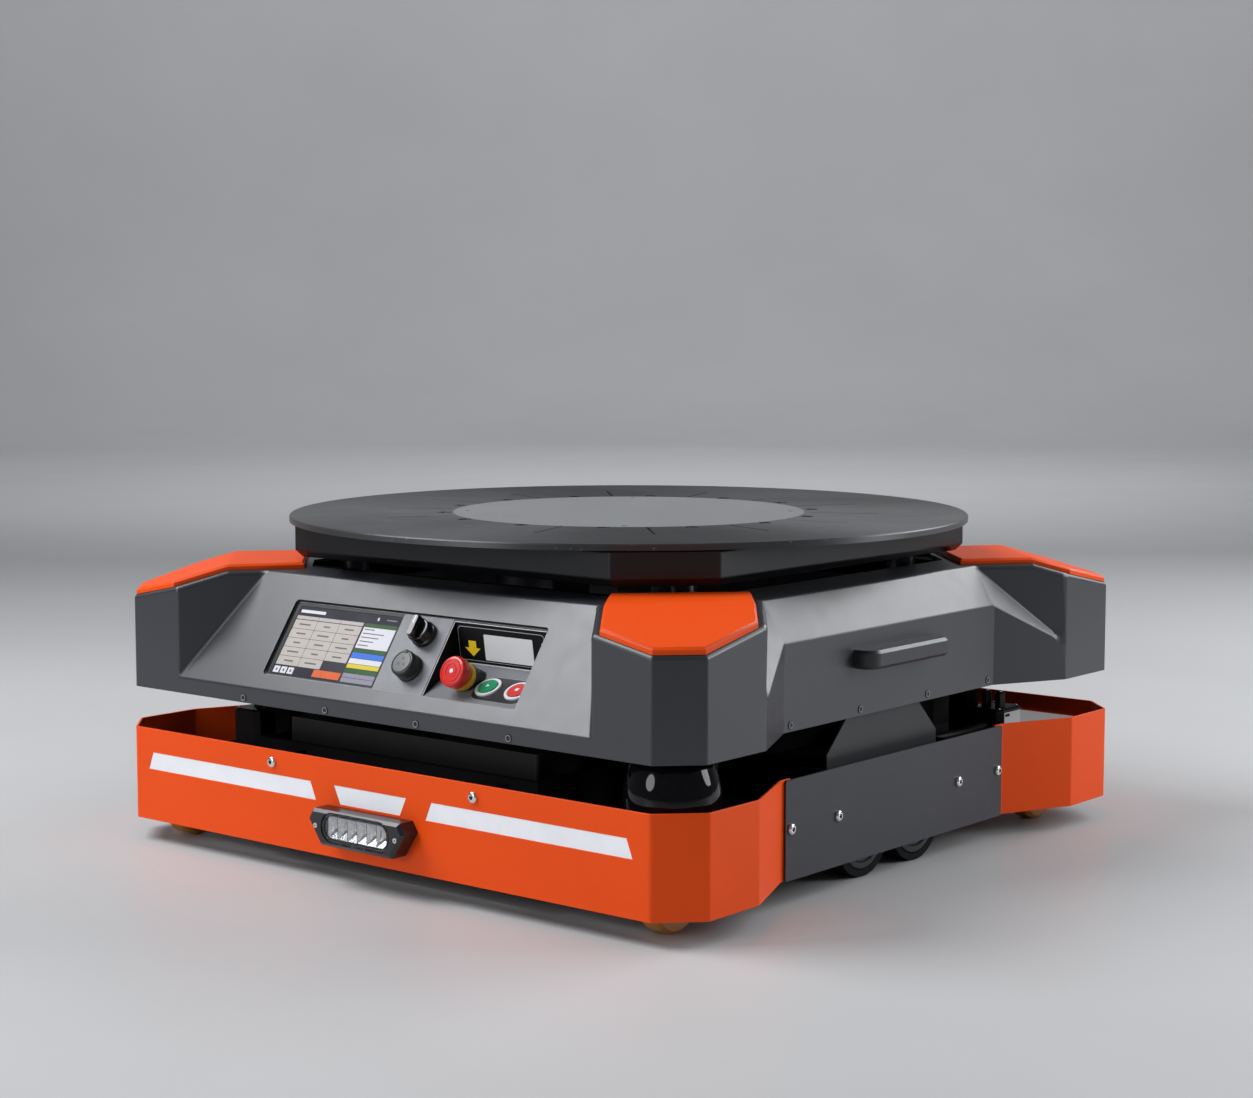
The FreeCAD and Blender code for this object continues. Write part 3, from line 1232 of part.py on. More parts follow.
def make_disc():
    """Turntable disc: radial slots, counterbored screws to the ring, a ledge for the plate."""
    body = turned("turntable_disc", [
        ("ledge_radius", "disc_low"), ("disc_radius", "disc_low"),
        ("disc_radius", "disc_top - disc_edge"),
        ("disc_radius - disc_edge", "disc_top"), ("plate_radius + plate_gap", "disc_top"),
        ("plate_radius + plate_gap", "ledge_top"), ("ledge_radius", "ledge_top")])
    slot = sketch_on(body, "disc_slot", height="disc_top")
    polygon(slot, [("slot_inner", "-slot_width / 2"), ("slot_outer", "-slot_width / 2"),
                   ("slot_outer", "slot_width / 2"), ("slot_inner", "slot_width / 2")])
    slot_cut = pocket(body, slot, "disc_top - disc_low + 1")
    seat = sketch_on(body, "ring_screw_seat", height="disc_top")
    half_step = "180 deg / slot_count"
    regular(seat, 12, "ring_screw_pocket", f"ring_screw_distance * cos({half_step})",
            f"ring_screw_distance * sin({half_step})")
    seat_cut = pocket(body, seat, "ring_screw_pocket_depth")
    ring_of(body, [slot_cut, seat_cut], "slot_count")
    hole = sketch_on(body, "fixture_hole_low", height="disc_top")
    circle(hole, "fixture_radius", "fixture_distance * cos((first_fixture_angle + 45) * 1 deg)",
           "fixture_distance * sin((first_fixture_angle + 45) * 1 deg)")
    hole_cut = pocket(body, hole, "disc_top - disc_low + 1")
    ring_of(body, [hole_cut], "fixture_count")
    place(body, angle=-45)
    return node(body, "turntable_disc")


def make_centre_plate():
    """Round plate let into the disc, with empty holes for a load fixture."""
    body = new_body("centre_plate")
    outline = sketch_on(body, "plate_outline", height="ledge_top + 0.05")
    circle(outline, "plate_radius")
    pad(body, outline, "disc_top - ledge_top - 0.05")
    hole = sketch_on(body, "fixture_hole", height="disc_top")
    circle(hole, "fixture_radius", "fixture_distance * cos((first_fixture_angle + 45) * 1 deg)",
           "fixture_distance * sin((first_fixture_angle + 45) * 1 deg)")
    hole_cut = pocket(body, hole, "disc_top - ledge_top + 1")
    ring_of(body, [hole_cut], "fixture_count")
    place(body, angle=-45)
    return node(body, "centre_plate")


def make_disc_screws():
    """Cap screws in the counterbores, drawn with twelve sides."""
    screws = []
    count = int(number("slot_count"))
    for i in range(count):
        head = doc.addObject("Part::Prism", f"ring_screw_{i}")
        head.Polygon = 12
        bind(head, Circumradius="ring_screw_head", Height="ring_screw_pocket_depth - 1.2")
        angle = f"({i} + 0.5) * 360 deg / slot_count - 45 deg"
        screws.append(place(head, f"ring_screw_distance * cos({angle})",
                            f"ring_screw_distance * sin({angle})",
                            "disc_top - ring_screw_pocket_depth + 0.05"))
    return node(group("disc_screws", screws), "disc_screws")


# ---------------------------------------------------------------- wheels and casters

def along_x(body, x, y, z, sign):
    """Lay a body turned about Z on its side, its own +Z towards sign * X."""
    place(body, x, y, z)
    body.Placement = Placement(body.Placement.Base,
                               Rotation(Vector(0, 0, 1), Vector(float(sign), 0, 0)))
    return body


def make_drive(side, sign):
    """Bogie, its two gearmotors and the two driven wheels of one side."""
    turn = 0 if sign == "1" else 180
    pin_low = "tub_half_width - plate - 4"
    face_low = "bogie_face - bogie_gauge"
    bogie = new_body("bogie_" + side)
    plate_sketch = sketch_on(bogie, f"bogie_{side}_plate", "YZ_Plane", face_low)
    polygon(plate_sketch, [("-drive_spacing - 22", "44"), ("drive_spacing + 22", "44"),
                           ("drive_spacing + 22", "74"), ("28", "92"), ("-28", "92"),
                           ("-drive_spacing - 22", "74")])
    for spot in ("drive_spacing", "-drive_spacing"):
        circle(plate_sketch, "axle_radius + shaft_gap", spot, "drive_radius")
    pad(bogie, plate_sketch, "bogie_gauge")
    pin = sketch_on(bogie, f"bogie_{side}_pin", "YZ_Plane", pin_low)
    circle(pin, "bogie_pin_radius", "0", "bogie_pivot_z")
    pad(bogie, pin, f"{face_low} - ({pin_low}) + 1")
    node(place(bogie, angle=turn), "bogie_" + side)

    motors = []
    for tag, way in (("front", "-1"), ("rear", "1")):
        name = f"drive_wheel_{tag}_{side}"
        wheel = turned(name, [
            ("0", "-drive_width - 24"), ("axle_radius", "-drive_width - 24"),
            ("axle_radius", "-drive_width"), ("drive_radius", "-drive_width"),
            ("drive_radius", "0"), ("drive_radius - tread", "0"),
            ("drive_radius - tread - 4", "-10"), ("0", "-10")])
        node(along_x(wheel, f"{sign} * drive_face", f"{way} * drive_spacing", "drive_radius",
                     sign), name)
        barrel = turned(f"gearmotor_{tag}_{side}", [
            ("0", "-gearmotor_length"), ("gearmotor_radius", "-gearmotor_length"),
            ("gearmotor_radius", "-0.1"),
            ("axle_radius + shaft_gap", "-0.1"), ("axle_radius + shaft_gap", "-16"),
            ("0", "-16")])
        motors.append(along_x(barrel, f"{sign} * ({face_low})", f"{way} * drive_spacing",
                              "drive_radius", sign))
    node(group("drive_motors_" + side, motors), "drive_motors_" + side)


def make_caster(tag, side, end):
    """Swivel fork and wheel of one caster; the wheel trails towards -Y."""
    spot = (f"{side} * caster_x", f"{end} * caster_y")
    leg_out = "fork_gap + fork_gauge"
    crown = doc.addObject("Part::Prism", "crown_" + tag)
    crown.Polygon = 16
    bind(crown, Circumradius="crown_radius", Height="crown_high - crown_low")
    place(crown, z="crown_low")
    arms = []
    for way in SIGNS:
        mark = tag + ("p" if way == "1" else "n")
        leg = new_body("fork_leg_" + mark)
        shape = sketch_on(leg, f"fork_leg_{mark}_outline", "YZ_Plane",
                          "fork_gap" if way == "1" else f"-({leg_out})")
        polygon(shape, [("-14", "crown_high"), ("16", "crown_high"), ("17", "crown_low - 2"),
                        ("9 - caster_trail", "caster_radius - 9"),
                        ("-9 - caster_trail", "caster_radius - 9"),
                        ("-13 - caster_trail", "caster_radius + 4"), ("-18", "crown_low - 4")])
        pad(leg, shape, "fork_gauge")
        arms.append(leg)
    axle = cylinder("caster_axle_" + tag, "caster_axle_radius", f"1 - ({leg_out})",
                    f"{leg_out} - 1", "-caster_trail", "caster_radius", "x")
    hole = cylinder("kingpin_hole_" + tag, "kingpin_radius + shaft_gap", "crown_low - 5",
                    "crown_high + 5")
    fork = cut("caster_fork_" + tag, fuse("caster_fork_blank_" + tag, [crown, axle] + arms), [hole])
    node(place(fork, *spot), "caster_fork_" + tag)

    half = "caster_width / 2"
    wheel = turned("caster_wheel_" + tag, [
        ("caster_axle_radius + shaft_gap", f"-{half}"), ("caster_radius - 4", f"-{half}"),
        ("caster_radius", f"-{half} + 5"), ("caster_radius", f"{half} - 5"),
        ("caster_radius - 4", half), ("caster_axle_radius + shaft_gap", half)])
    node(along_x(wheel, spot[0], f"{spot[1]} - caster_trail", "caster_radius", "1"),
         "caster_wheel_" + tag)


def make_caster_plates():
    """Mounting plate, race and kingpin of each caster, under the corner decks."""
    plates = []
    for side in SIGNS:
        for end in SIGNS:
            mark = str(len(plates))
            top = box("caster_flange_" + mark, ("-caster_plate_x", "caster_plate_x"),
                      ("-caster_plate_y", "caster_plate_y"), ("deck_low - 4", "deck_low - 0.1"))
            pin = cylinder("kingpin_" + mark, "kingpin_radius", "crown_low - 8", "deck_low - 3")
            nut = doc.addObject("Part::Prism", "kingpin_nut_" + mark)
            bind(nut, Circumradius="kingpin_radius + 4", Height="7.6")
            place(nut, "0", "0", "crown_low - 8")
            whole = fuse("caster_plate_" + mark, [top, pin, nut])
            plates.append(place(whole, f"{side} * caster_x", f"{end} * caster_y"))
    return node(group("caster_plates", plates), "caster_plates")


# ---------------------------------------------------------------- assembly and files

def build():
    node(make_bumper("front_bumper", 0), "front_bumper")
    node(make_bumper("rear_bumper", 180), "rear_bumper")
    make_light_strips()
    make_beacons()
    make_side_panels()
    make_outer_screws()
    make_base_frame()
    make_upper_frame()
    make_side_brackets()
    make_battery_and_cabinet()
    make_junction_boxes()
    make_conduits()
    make_scanners()
    make_upper_cover()
    make_corner_caps()
    make_handles()
    make_control_plate()
    make_display()
    make_estop()
    make_push_buttons()
    make_selector()
    make_port_cap()
    make_pan()
    make_lift()
    make_race()
    make_ring_gear()
    make_pinion()
    make_turntable_motor()
    make_disc()
    make_centre_plate()
    make_disc_screws()
    for side, sign in (("right", "1"), ("left", "-1")):
        make_drive(side, sign)
    for tag, side, end in (("fr", "1", "-1"), ("fl", "-1", "-1"), ("rr", "1", "1"),
                           ("rl", "-1", "1")):
        make_caster(tag, side, end)
    make_caster_plates()
    doc.recompute()


def check():
    """Stop if any object failed to build or any sub-part is not a sound solid."""
    for obj in doc.Objects:
        bad = [state for state in obj.State if state in ("Invalid", "Error")]
        if bad:
            raise RuntimeError(f"{obj.Name} ({obj.TypeId}) did not build: {obj.State}")
    for obj in nodes:
        shape = obj.Shape
        if shape.isNull() or not shape.isValid() or not shape.Solids:
            raise RuntimeError(f"{obj.Label} has no sound solid")


def write():
    os.makedirs("parts", exist_ok=True)
    for obj in nodes:
        obj.Shape.exportStep(f"parts/{obj.Label}.step")
        print(f"{obj.Label:26s} {len(obj.Shape.Solids):3d} solids {obj.Shape.Volume / 1000:10.1f} cm3")


build()
check()
write()
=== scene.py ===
"""Looks of the mobile robot: materials on the CAD parts, and the detail that rides on them.

Lengths are metres, or millimetres times MM.
"""
import json
import math

import bmesh
import bpy
from mathutils import Matrix, Vector

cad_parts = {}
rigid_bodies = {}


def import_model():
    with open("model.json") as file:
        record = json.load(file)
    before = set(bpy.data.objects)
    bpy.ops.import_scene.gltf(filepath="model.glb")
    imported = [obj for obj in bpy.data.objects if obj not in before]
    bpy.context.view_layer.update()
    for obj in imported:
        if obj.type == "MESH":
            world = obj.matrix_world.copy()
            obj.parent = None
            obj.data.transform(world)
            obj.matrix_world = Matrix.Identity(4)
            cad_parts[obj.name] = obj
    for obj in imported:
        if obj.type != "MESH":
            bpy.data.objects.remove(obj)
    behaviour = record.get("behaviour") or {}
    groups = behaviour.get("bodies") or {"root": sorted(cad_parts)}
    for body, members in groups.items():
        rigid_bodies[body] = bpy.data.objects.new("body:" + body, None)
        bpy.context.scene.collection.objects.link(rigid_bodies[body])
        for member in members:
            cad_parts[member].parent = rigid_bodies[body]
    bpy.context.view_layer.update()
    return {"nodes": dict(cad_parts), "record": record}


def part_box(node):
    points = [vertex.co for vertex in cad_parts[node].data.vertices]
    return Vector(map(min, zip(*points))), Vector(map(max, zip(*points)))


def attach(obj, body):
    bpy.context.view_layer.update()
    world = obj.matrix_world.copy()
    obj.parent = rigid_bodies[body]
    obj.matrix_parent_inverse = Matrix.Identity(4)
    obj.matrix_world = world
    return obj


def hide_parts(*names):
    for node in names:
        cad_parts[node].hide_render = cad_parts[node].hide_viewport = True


for left_over in list(bpy.data.objects):
    bpy.data.objects.remove(left_over)
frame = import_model()
NODES = frame["nodes"]
MATERIALS = {}
MM = 0.001
UP = Vector((0, 0, 1))
ACROSS = Vector((1, 0, 0))


# ---------------------------------------------------------------- materials

# texture scales, in features a metre
DRIFT, CLOUDS, BRUSHED, WEAR, PEEL, SAND = 6, 9, 70, 45, 260, 900
# heights that bumps stand for
PEEL_HEIGHT, SAND_HEIGHT, SCRATCH_HEIGHT = 0.4 * MM, 0.3 * MM, 0.2 * MM
RING_TWIST = 0.02
COAT_ROUGHNESS = 0.1
DISC_WORN_RADIUS = 468.4 * MM
NICK_COLOUR = (0.2, 0.2, 0.21, 1)


class Surface:
    """A material under construction: a Principled shader and the textures that feed it."""

    def __init__(self, name, metallic=0.0, coat=0.0, specular=0.5):
        self.material = MATERIALS[name] = bpy.data.materials.new(name)
        self.material.use_nodes = True
        self.tree = self.material.node_tree
        self.shader = self.tree.nodes["Principled BSDF"]
        self.set({"Metallic": metallic, "Coat Weight": coat, "Coat Roughness": COAT_ROUGHNESS,
                  "Specular IOR Level": specular})
        self.position = self.add("ShaderNodeTexCoord").outputs["Object"]
        self.last_bump = None

    def set(self, values):
        for name, value in values.items():
            self.shader.inputs[name].default_value = value

    def add(self, kind, **settings):
        item = self.tree.nodes.new(kind)
        for name, value in settings.items():
            setattr(item, name, value)
        return item

    def feed(self, socket, value):
        if isinstance(value, bpy.types.NodeSocket):
            self.tree.links.new(value, socket)
        else:
            socket.default_value = value

    def math(self, operation, first, second=0.0):
        item = self.add("ShaderNodeMath", operation=operation)
        self.feed(item.inputs[0], first)
        self.feed(item.inputs[1], second)
        return item.outputs[0]

    def stretched(self, factors):
        item = self.add("ShaderNodeMapping")
        self.feed(item.inputs["Vector"], self.position)
        item.inputs["Scale"].default_value = factors
        return item.outputs["Vector"]

    def noise(self, scale, detail, roughness=0.55, stretch=None, vector=None):
        item = self.add("ShaderNodeTexNoise")
        if vector is None:
            vector = self.stretched(stretch) if stretch else self.position
        self.feed(item.inputs["Vector"], vector)
        item.inputs["Scale"].default_value = scale
        item.inputs["Detail"].default_value = detail
        item.inputs["Roughness"].default_value = roughness
        return item.outputs["Fac"]

    def polar(self):
        """Radius and a little of the heading about the vertical axis, as a texture vector."""
        parts = self.add("ShaderNodeSeparateXYZ")
        self.feed(parts.inputs[0], self.position)
        across, along = parts.outputs["X"], parts.outputs["Y"]
        squares = self.math("ADD", self.math("MULTIPLY", across, across),
                            self.math("MULTIPLY", along, along))
        radius = self.math("SQRT", squares)
        heading = self.math("MULTIPLY", self.math("ARCTAN2", along, across), RING_TWIST)
        joined = self.add("ShaderNodeCombineXYZ")
        self.feed(joined.inputs["X"], radius)
        self.feed(joined.inputs["Y"], heading)
        return joined.outputs[0]

    def spread(self, fac, low, high):
        """Takes the middle of a noise, 0.3 to 0.7, to low and high."""
        item = self.add("ShaderNodeMapRange")
        self.feed(item.inputs["Value"], fac)
        for socket, value in (("From Min", 0.3), ("From Max", 0.7), ("To Min", low),
                              ("To Max", high)):
            item.inputs[socket].default_value = value
        return item.outputs["Result"]

    def colour(self, fac, dark, light, start=0.3, end=0.7):
        item = self.add("ShaderNodeValToRGB")
        self.feed(item.inputs["Fac"], fac)
        stops = item.color_ramp.elements
        stops[0].position, stops[1].position = start, end
        stops[0].color = (*dark, 1)
        stops[1].color = (*light, 1)
        self.feed(self.shader.inputs["Base Color"], item.outputs["Color"])
        return item

    def roughness(self, fac, low, high):
        self.feed(self.shader.inputs["Roughness"], self.spread(fac, low, high))

    def bump(self, fac, strength, distance):
        item = self.add("ShaderNodeBump")
        item.inputs["Strength"].default_value = strength
        item.inputs["Distance"].default_value = distance
        self.feed(item.inputs["Height"], fac)
        if self.last_bump:
            self.feed(item.inputs["Normal"], self.last_bump)
        self.last_bump = item.outputs["Normal"]
        self.feed(self.shader.inputs["Normal"], self.last_bump)


def shades(colour, spread):
    """A darker and a lighter neighbour of a colour."""
    return [tuple(c * (1 - spread) for c in colour),
            tuple(min(1, c * (1 + spread)) for c in colour)]


def painted(name, colour, rough, peel=0.0, sand=0.0, spread=0.05, **options):
    """Powder coat or moulded plastic: slow drifts of shade, orange peel or fine sand grain."""
    surface = Surface(name, **options)
    surface.colour(surface.noise(DRIFT, 4), *shades(colour, spread))
    surface.roughness(surface.noise(WEAR, 5), rough - 0.02, rough + 0.02)
    if peel:
        surface.bump(surface.noise(PEEL, 2), peel, PEEL_HEIGHT)
    if sand:
        surface.bump(surface.noise(SAND, 2), sand, SAND_HEIGHT)


def brushed(name, colour, rough, stretch, spread=0.12, grain=BRUSHED):
    """Metal with a grain of fine scratches that run along the axis with the smallest factor."""
    surface = Surface(name, metallic=1.0)
    lines = surface.noise(grain, 4, 0.6, stretch=stretch)
    surface.colour(lines, *shades(colour, spread))
    surface.roughness(lines, rough - 0.06, rough + 0.08)
    surface.bump(lines, 0.12, SCRATCH_HEIGHT)


def blended(surface, first, second, share):
    """Two textures added, with this share of the first."""
    return surface.math("ADD", surface.math("MULTIPLY", first, share),
                        surface.math("MULTIPLY", second, 1 - share))


def turned_metal(name, colour, rough, spread=0.1):
    """Metal faced on a lathe: fine rings about the vertical axis, and slow clouds of shade."""
    surface = Surface(name, metallic=0.85)
    rings = surface.noise(SAND, 3, 0.6, vector=surface.polar())
    mixed = blended(surface, rings, surface.noise(CLOUDS, 5, 0.6), 0.5)
    surface.colour(mixed, *shades(colour, spread))
    surface.roughness(mixed, rough - 0.05, rough + 0.07)
    surface.bump(rings, 0.08, SCRATCH_HEIGHT)


def speckled(name, colour, rough):
    """Sand-textured sheet whose grain shows as light and dark specks."""
    surface = Surface(name)
    specks = surface.noise(950, 3, 0.7)
    surface.colour(specks, *shades(colour, 0.22), start=0.36, end=0.64)
    surface.roughness(surface.noise(40, 4), rough - 0.04, rough + 0.06)
    surface.bump(specks, 0.35, SAND_HEIGHT)


def faced_disc(name, colour, rough):
    """Blackened steel plate: faint rings, blurred handling marks and nicks along its rim."""
    surface = Surface(name, metallic=0.7)
    surface.set({"Anisotropic": 0.75, "Anisotropic Rotation": 0.25})
    tangent = surface.add("ShaderNodeTangent", direction_type="RADIAL", axis="Z")
    surface.feed(surface.shader.inputs["Tangent"], tangent.outputs["Tangent"])
    vector = surface.polar()
    rings = surface.noise(700, 3, 0.6, vector=vector)
    mixed = blended(surface, rings, surface.noise(7, 5, 0.62), 0.35)
    ramp = surface.colour(mixed, *shades(colour, 0.08))
    parts = surface.add("ShaderNodeSeparateXYZ")
    surface.feed(parts.inputs[0], vector)
    rim = surface.math("GREATER_THAN", parts.outputs["X"], DISC_WORN_RADIUS)
    chipped = surface.math("GREATER_THAN", surface.noise(110, 4, 0.7), 0.66)
    blend = surface.add("ShaderNodeMix", data_type="RGBA")
    surface.feed(blend.inputs["Factor"], surface.math("MULTIPLY", rim, chipped))
    surface.feed(blend.inputs["A"], ramp.outputs["Color"])
    blend.inputs["B"].default_value = NICK_COLOUR
    surface.feed(surface.shader.inputs["Base Color"], blend.outputs["Result"])
    surface.roughness(mixed, rough - 0.07, rough + 0.08)
    surface.bump(rings, 0.06, SCRATCH_HEIGHT)


def glowing(name, colour, strength, rough=0.3):
    """A lit face with a slight unevenness in it."""
    surface = Surface(name, specular=0.12)
    drift = surface.noise(30, 3)
    ramp = surface.colour(drift, *shades(colour, 0.03))
    surface.roughness(drift, rough - 0.05, rough + 0.05)
    surface.feed(surface.shader.inputs["Emission Color"], ramp.outputs["Color"])
    surface.set({"Emission Strength": strength})


def clear(name, tint, rough, weight):
    """Clear plastic with a faint drift in its polish."""
    surface = Surface(name, specular=0.6)
    drift = surface.noise(60, 3)
    surface.colour(drift, *shades(tint, 0.02))
    surface.roughness(drift, rough, rough + 0.04)
    surface.set({"Transmission Weight": weight, "IOR": 1.45})


ORANGE = (0.95, 0.088, 0.004)

# materials of the record's slots
painted("orange_coat", ORANGE, 0.42, peel=0.1, spread=0.02, specular=0.2)
painted("frame_paint", (0.008, 0.008, 0.009), 0.6, sand=0.3, spread=0.15, specular=0.03)
painted("bracket_paint", (0.026, 0.027, 0.031), 0.42, peel=0.15, spread=0.08)
painted("panel_paint", (0.035, 0.0365, 0.045), 0.46, sand=0.35, spread=0.06)
painted("cover_plastic", (0.03, 0.032, 0.04), 0.36, sand=0.15, spread=0.04, specular=0.75)
glowing("diffuser", (0.74, 0.75, 0.79), 0.25, 0.4)
painted("beacon_black", (0.014, 0.014, 0.016), 0.26, sand=0.1, specular=0.6)
clear("clear_lens", (0.95, 0.96, 0.97), 0.03, 0.97)
brushed("zinc", (0.78, 0.79, 0.81), 0.2, (1, 1, 9), grain=220)
painted("scanner_black", (0.008, 0.008, 0.01), 0.25, sand=0.12)
painted("scanner_window", (0.004, 0.004, 0.005), 0.05, spread=0.2, specular=0.3)
painted("box_grey", (0.012, 0.0125, 0.014), 0.4, sand=0.25)
painted("hose_black", (0.01, 0.01, 0.011), 0.45, sand=0.2)
painted("battery_case", (0.009, 0.009, 0.01), 0.5, sand=0.2, specular=0.3)
painted("cabinet", (0.011, 0.011, 0.012), 0.45, peel=0.15, specular=0.3)
painted("handle_grey", (0.026, 0.027, 0.032), 0.38, sand=0.2, specular=0.6)
speckled("control_dark", (0.2, 0.205, 0.225), 0.4)
painted("bezel_black", (0.003, 0.003, 0.0035), 0.3, sand=0.1, specular=0.2)
painted("display_glass", (0.012, 0.012, 0.02), 0.3, sand=0.05, specular=0.12)
painted("estop_yellow", (0.85, 0.5, 0.015), 0.35, sand=0.08)
painted("estop_red", (0.72, 0.018, 0.014), 0.3, sand=0.06, coat=0.3)
painted("ring_white", (0.82, 0.83, 0.84), 0.3, sand=0.05, spread=0.02)
painted("start_green", (0.006, 0.3, 0.12), 0.3, sand=0.05, spread=0.05, coat=0.3)
painted("stop_red", (0.75, 0.045, 0.04), 0.3, sand=0.05, coat=0.3)
painted("knob_black", (0.008, 0.008, 0.009), 0.2, sand=0.06, coat=0.3)
painted("port_black", (0.022, 0.023, 0.026), 0.3, sand=0.1)
painted("column_steel", (0.02, 0.021, 0.023), 0.4, peel=0.15)
brushed("rod_steel", (0.09, 0.092, 0.1), 0.3, (6, 6, 0.4), spread=0.04)
painted("pan_black", (0.008, 0.0083, 0.01), 0.36, sand=0.6, spread=0.08, specular=0.45)
turned_metal("ring_steel", (0.3, 0.31, 0.33), 0.3)
turned_metal("gear_steel", (0.4, 0.4, 0.41), 0.28)
brushed("motor_dark", (0.08, 0.083, 0.09), 0.4, (1, 8, 8))
faced_disc("disc_dark", (0.07, 0.071, 0.075), 0.4)
turned_metal("plate_grey", (0.42, 0.425, 0.435), 0.45, spread=0.06)
brushed("screw_steel", (0.5, 0.51, 0.53), 0.26, (1, 1, 9), grain=220)
painted("bogie_steel", (0.04, 0.041, 0.044), 0.55, sand=0.6, spread=0.12)
painted("drive_tyre", (0.007, 0.0072, 0.008), 0.6, sand=0.35, spread=0.12, specular=0.1)
brushed("caster_steel", (0.42, 0.43, 0.45), 0.32, (1, 1, 6))
painted("caster_tyre", (0.55, 0.22, 0.02), 0.32, sand=0.08, coat=0.3)

# materials that only the scene has
brushed("rim_chrome", (0.85, 0.86, 0.88), 0.1, (3, 3, 3), spread=0.03)
# light grey for edges and creases that catch the light: a painted highlight
painted("painted_edge_highlight", (0.5, 0.51, 0.53), 0.3, sand=0.05, spread=0.03)
painted("screw_rim", (0.3, 0.305, 0.32), 0.35, sand=0.05)
# near black: the colour of black fittings and print, and painted shade in screw sockets,
# countersinks and notches
painted("black_and_painted_shade", (0.01, 0.01, 0.011), 0.5, sand=0.1)
# black of the labels and the pocket's linings, and painted shadow along the pocket's rim and the
# opening's edges
painted("black_sheet_and_painted_shadow", (0.005, 0.005, 0.006), 0.35, sand=0.05, specular=0.15)
painted("label_white", (0.8, 0.81, 0.82), 0.45, sand=0.05, spread=0.02)
painted("arrow_yellow", (0.9, 0.62, 0.006), 0.4, sand=0.05, spread=0.03)
painted("wheel_hub", (0.014, 0.0145, 0.016), 0.45, sand=0.4)
brushed("reflector", (0.75, 0.76, 0.78), 0.1, (5, 5, 5), spread=0.03)
glowing("led_chip", (0.8, 0.68, 0.35), 0.15)
glowing("ui_header", (0.014, 0.014, 0.026), 0.1, 0.4)
glowing("ui_button", (0.42, 0.385, 0.355), 0.2)
glowing("ui_mark", (0.12, 0.11, 0.11), 0.2)
glowing("ui_list", (0.58, 0.57, 0.62), 0.25)
glowing("ui_green", (0.01, 0.07, 0.008), 0.25)
glowing("ui_blue", (0.02, 0.12, 0.52), 0.35)
glowing("ui_yellow", (0.55, 0.44, 0.02), 0.3)
glowing("ui_orange", (0.55, 0.09, 0.015), 0.3)
glowing("ui_grey", (0.22, 0.21, 0.27), 0.25)

for part in frame["record"]["subparts"]:
    for held in NODES[part["node"]].material_slots:
        held.material = MATERIALS[part["material_slot"]]


# ---------------------------------------------------------------- mesh helpers

def linked(name, mesh_data, materials, smooth_angle):
    """An object from a bmesh, with its materials and with sharp creases above smooth_angle."""
    mesh = bpy.data.meshes.new(name)
    bmesh.ops.recalc_face_normals(mesh_data, faces=mesh_data.faces)
    limit = math.radians(smooth_angle)
    for edge in mesh_data.edges:
        edge.smooth = len(edge.link_faces) != 2 or edge.calc_face_angle(0) < limit
    for face in mesh_data.faces:
        face.smooth = True
    mesh_data.to_mesh(mesh)
    mesh_data.free()
    piece = bpy.data.objects.new(name, mesh)
    bpy.context.scene.collection.objects.link(piece)
    for material in materials:
        mesh.materials.append(material)
    return piece


def finished(name, mesh_data, slots, body, smooth_angle=40.0, replaces=()):
    """A piece that rides on a body; slots names its materials in order."""
    piece = linked(name, mesh_data, [MATERIALS[slot] for slot in slots], smooth_angle)
    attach(piece, body)
    if replaces:
        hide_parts(*replaces)


def placed(mesh_data, rings, matrix):
    """Moves rings of vertices from the space they were drawn in."""
    bmesh.ops.transform(mesh_data, matrix=matrix, verts=[v for ring in rings for v in ring])


def bridge(mesh_data, lower, upper, slot=0):
    """A band of faces between two rings of vertices; a ring of one is a point."""
    count = max(len(lower), len(upper))
    for i in range(count):
        after = (i + 1) % count
        corners = [lower[i % len(lower)], lower[after % len(lower)],
                   upper[after % len(upper)], upper[i % len(upper)]]
        face = mesh_data.faces.new(list(dict.fromkeys(corners)))
        face.material_index = slot


def facing(origin, way, across=None):
    """Matrix whose Z runs along way from origin; across sets X where it matters."""
    forward = Vector(way).normalized()
    side = Vector(across or (UP if abs(forward.z) < 0.9 else ACROSS))
    side = (side - forward * side.dot(forward)).normalized()
    up = forward.cross(side)
    turned = Matrix((side, up, forward)).transposed().to_4x4()
    return Matrix.Translation(Vector(origin)) @ turned


def add_lathe(mesh_data, profile, matrix, segments, slot=0):
    """Revolves (radius, height) points about Z; a radius of 0 closes the end."""
    rings = []
    for radius, height in profile:
        if radius <= 0:
            rings.append([mesh_data.verts.new((0, 0, height))])
            continue
        rings.append([mesh_data.verts.new((x, y, height))
                      for x, y in regular_outline(segments, radius)])
    for lower, upper in zip(rings, rings[1:]):
        bridge(mesh_data, lower, upper, slot)
    placed(mesh_data, rings, matrix)


def add_prism(mesh_data, outline, low, high, matrix, slot, chamfer=0.0):
    """Pushes an (x, y) outline from low to high, with an optional chamfer round the top."""
    levels = [(low, 0.0), (high, 0.0)]
    if chamfer:
        levels = [(low, 0.0), (high - chamfer, 0.0), (high, chamfer)]
    centre = sum((Vector(p) for p in outline), Vector((0, 0))) / len(outline)
    rings = []
    for height, inset in levels:
        ring = []
        for point in outline:
            arm = Vector(point) - centre
            scale = max(0.0, 1 - inset / max(arm.length, 1e-6))
            spot = centre + arm * scale
            ring.append(mesh_data.verts.new((spot.x, spot.y, height)))
        rings.append(ring)
    for cap in (rings[0][::-1], rings[-1]):
        mesh_data.faces.new(cap).material_index = slot
    for lower, upper in zip(rings, rings[1:]):
        bridge(mesh_data, lower, upper, slot)
    placed(mesh_data, rings, matrix)


def add_frame(mesh_data, outer, inner, low, high, matrix, slot=0):
    """A flat border between two outlines with the same number of points."""
    rings = []
    for outline, height in ((outer, low), (outer, high), (inner, high), (inner, low)):
        rings.append([mesh_data.verts.new((x, y, height)) for x, y in outline])
    for lower, upper in zip(rings, rings[1:] + rings[:1]):
        bridge(mesh_data, lower, upper, slot)
    placed(mesh_data, rings, matrix)


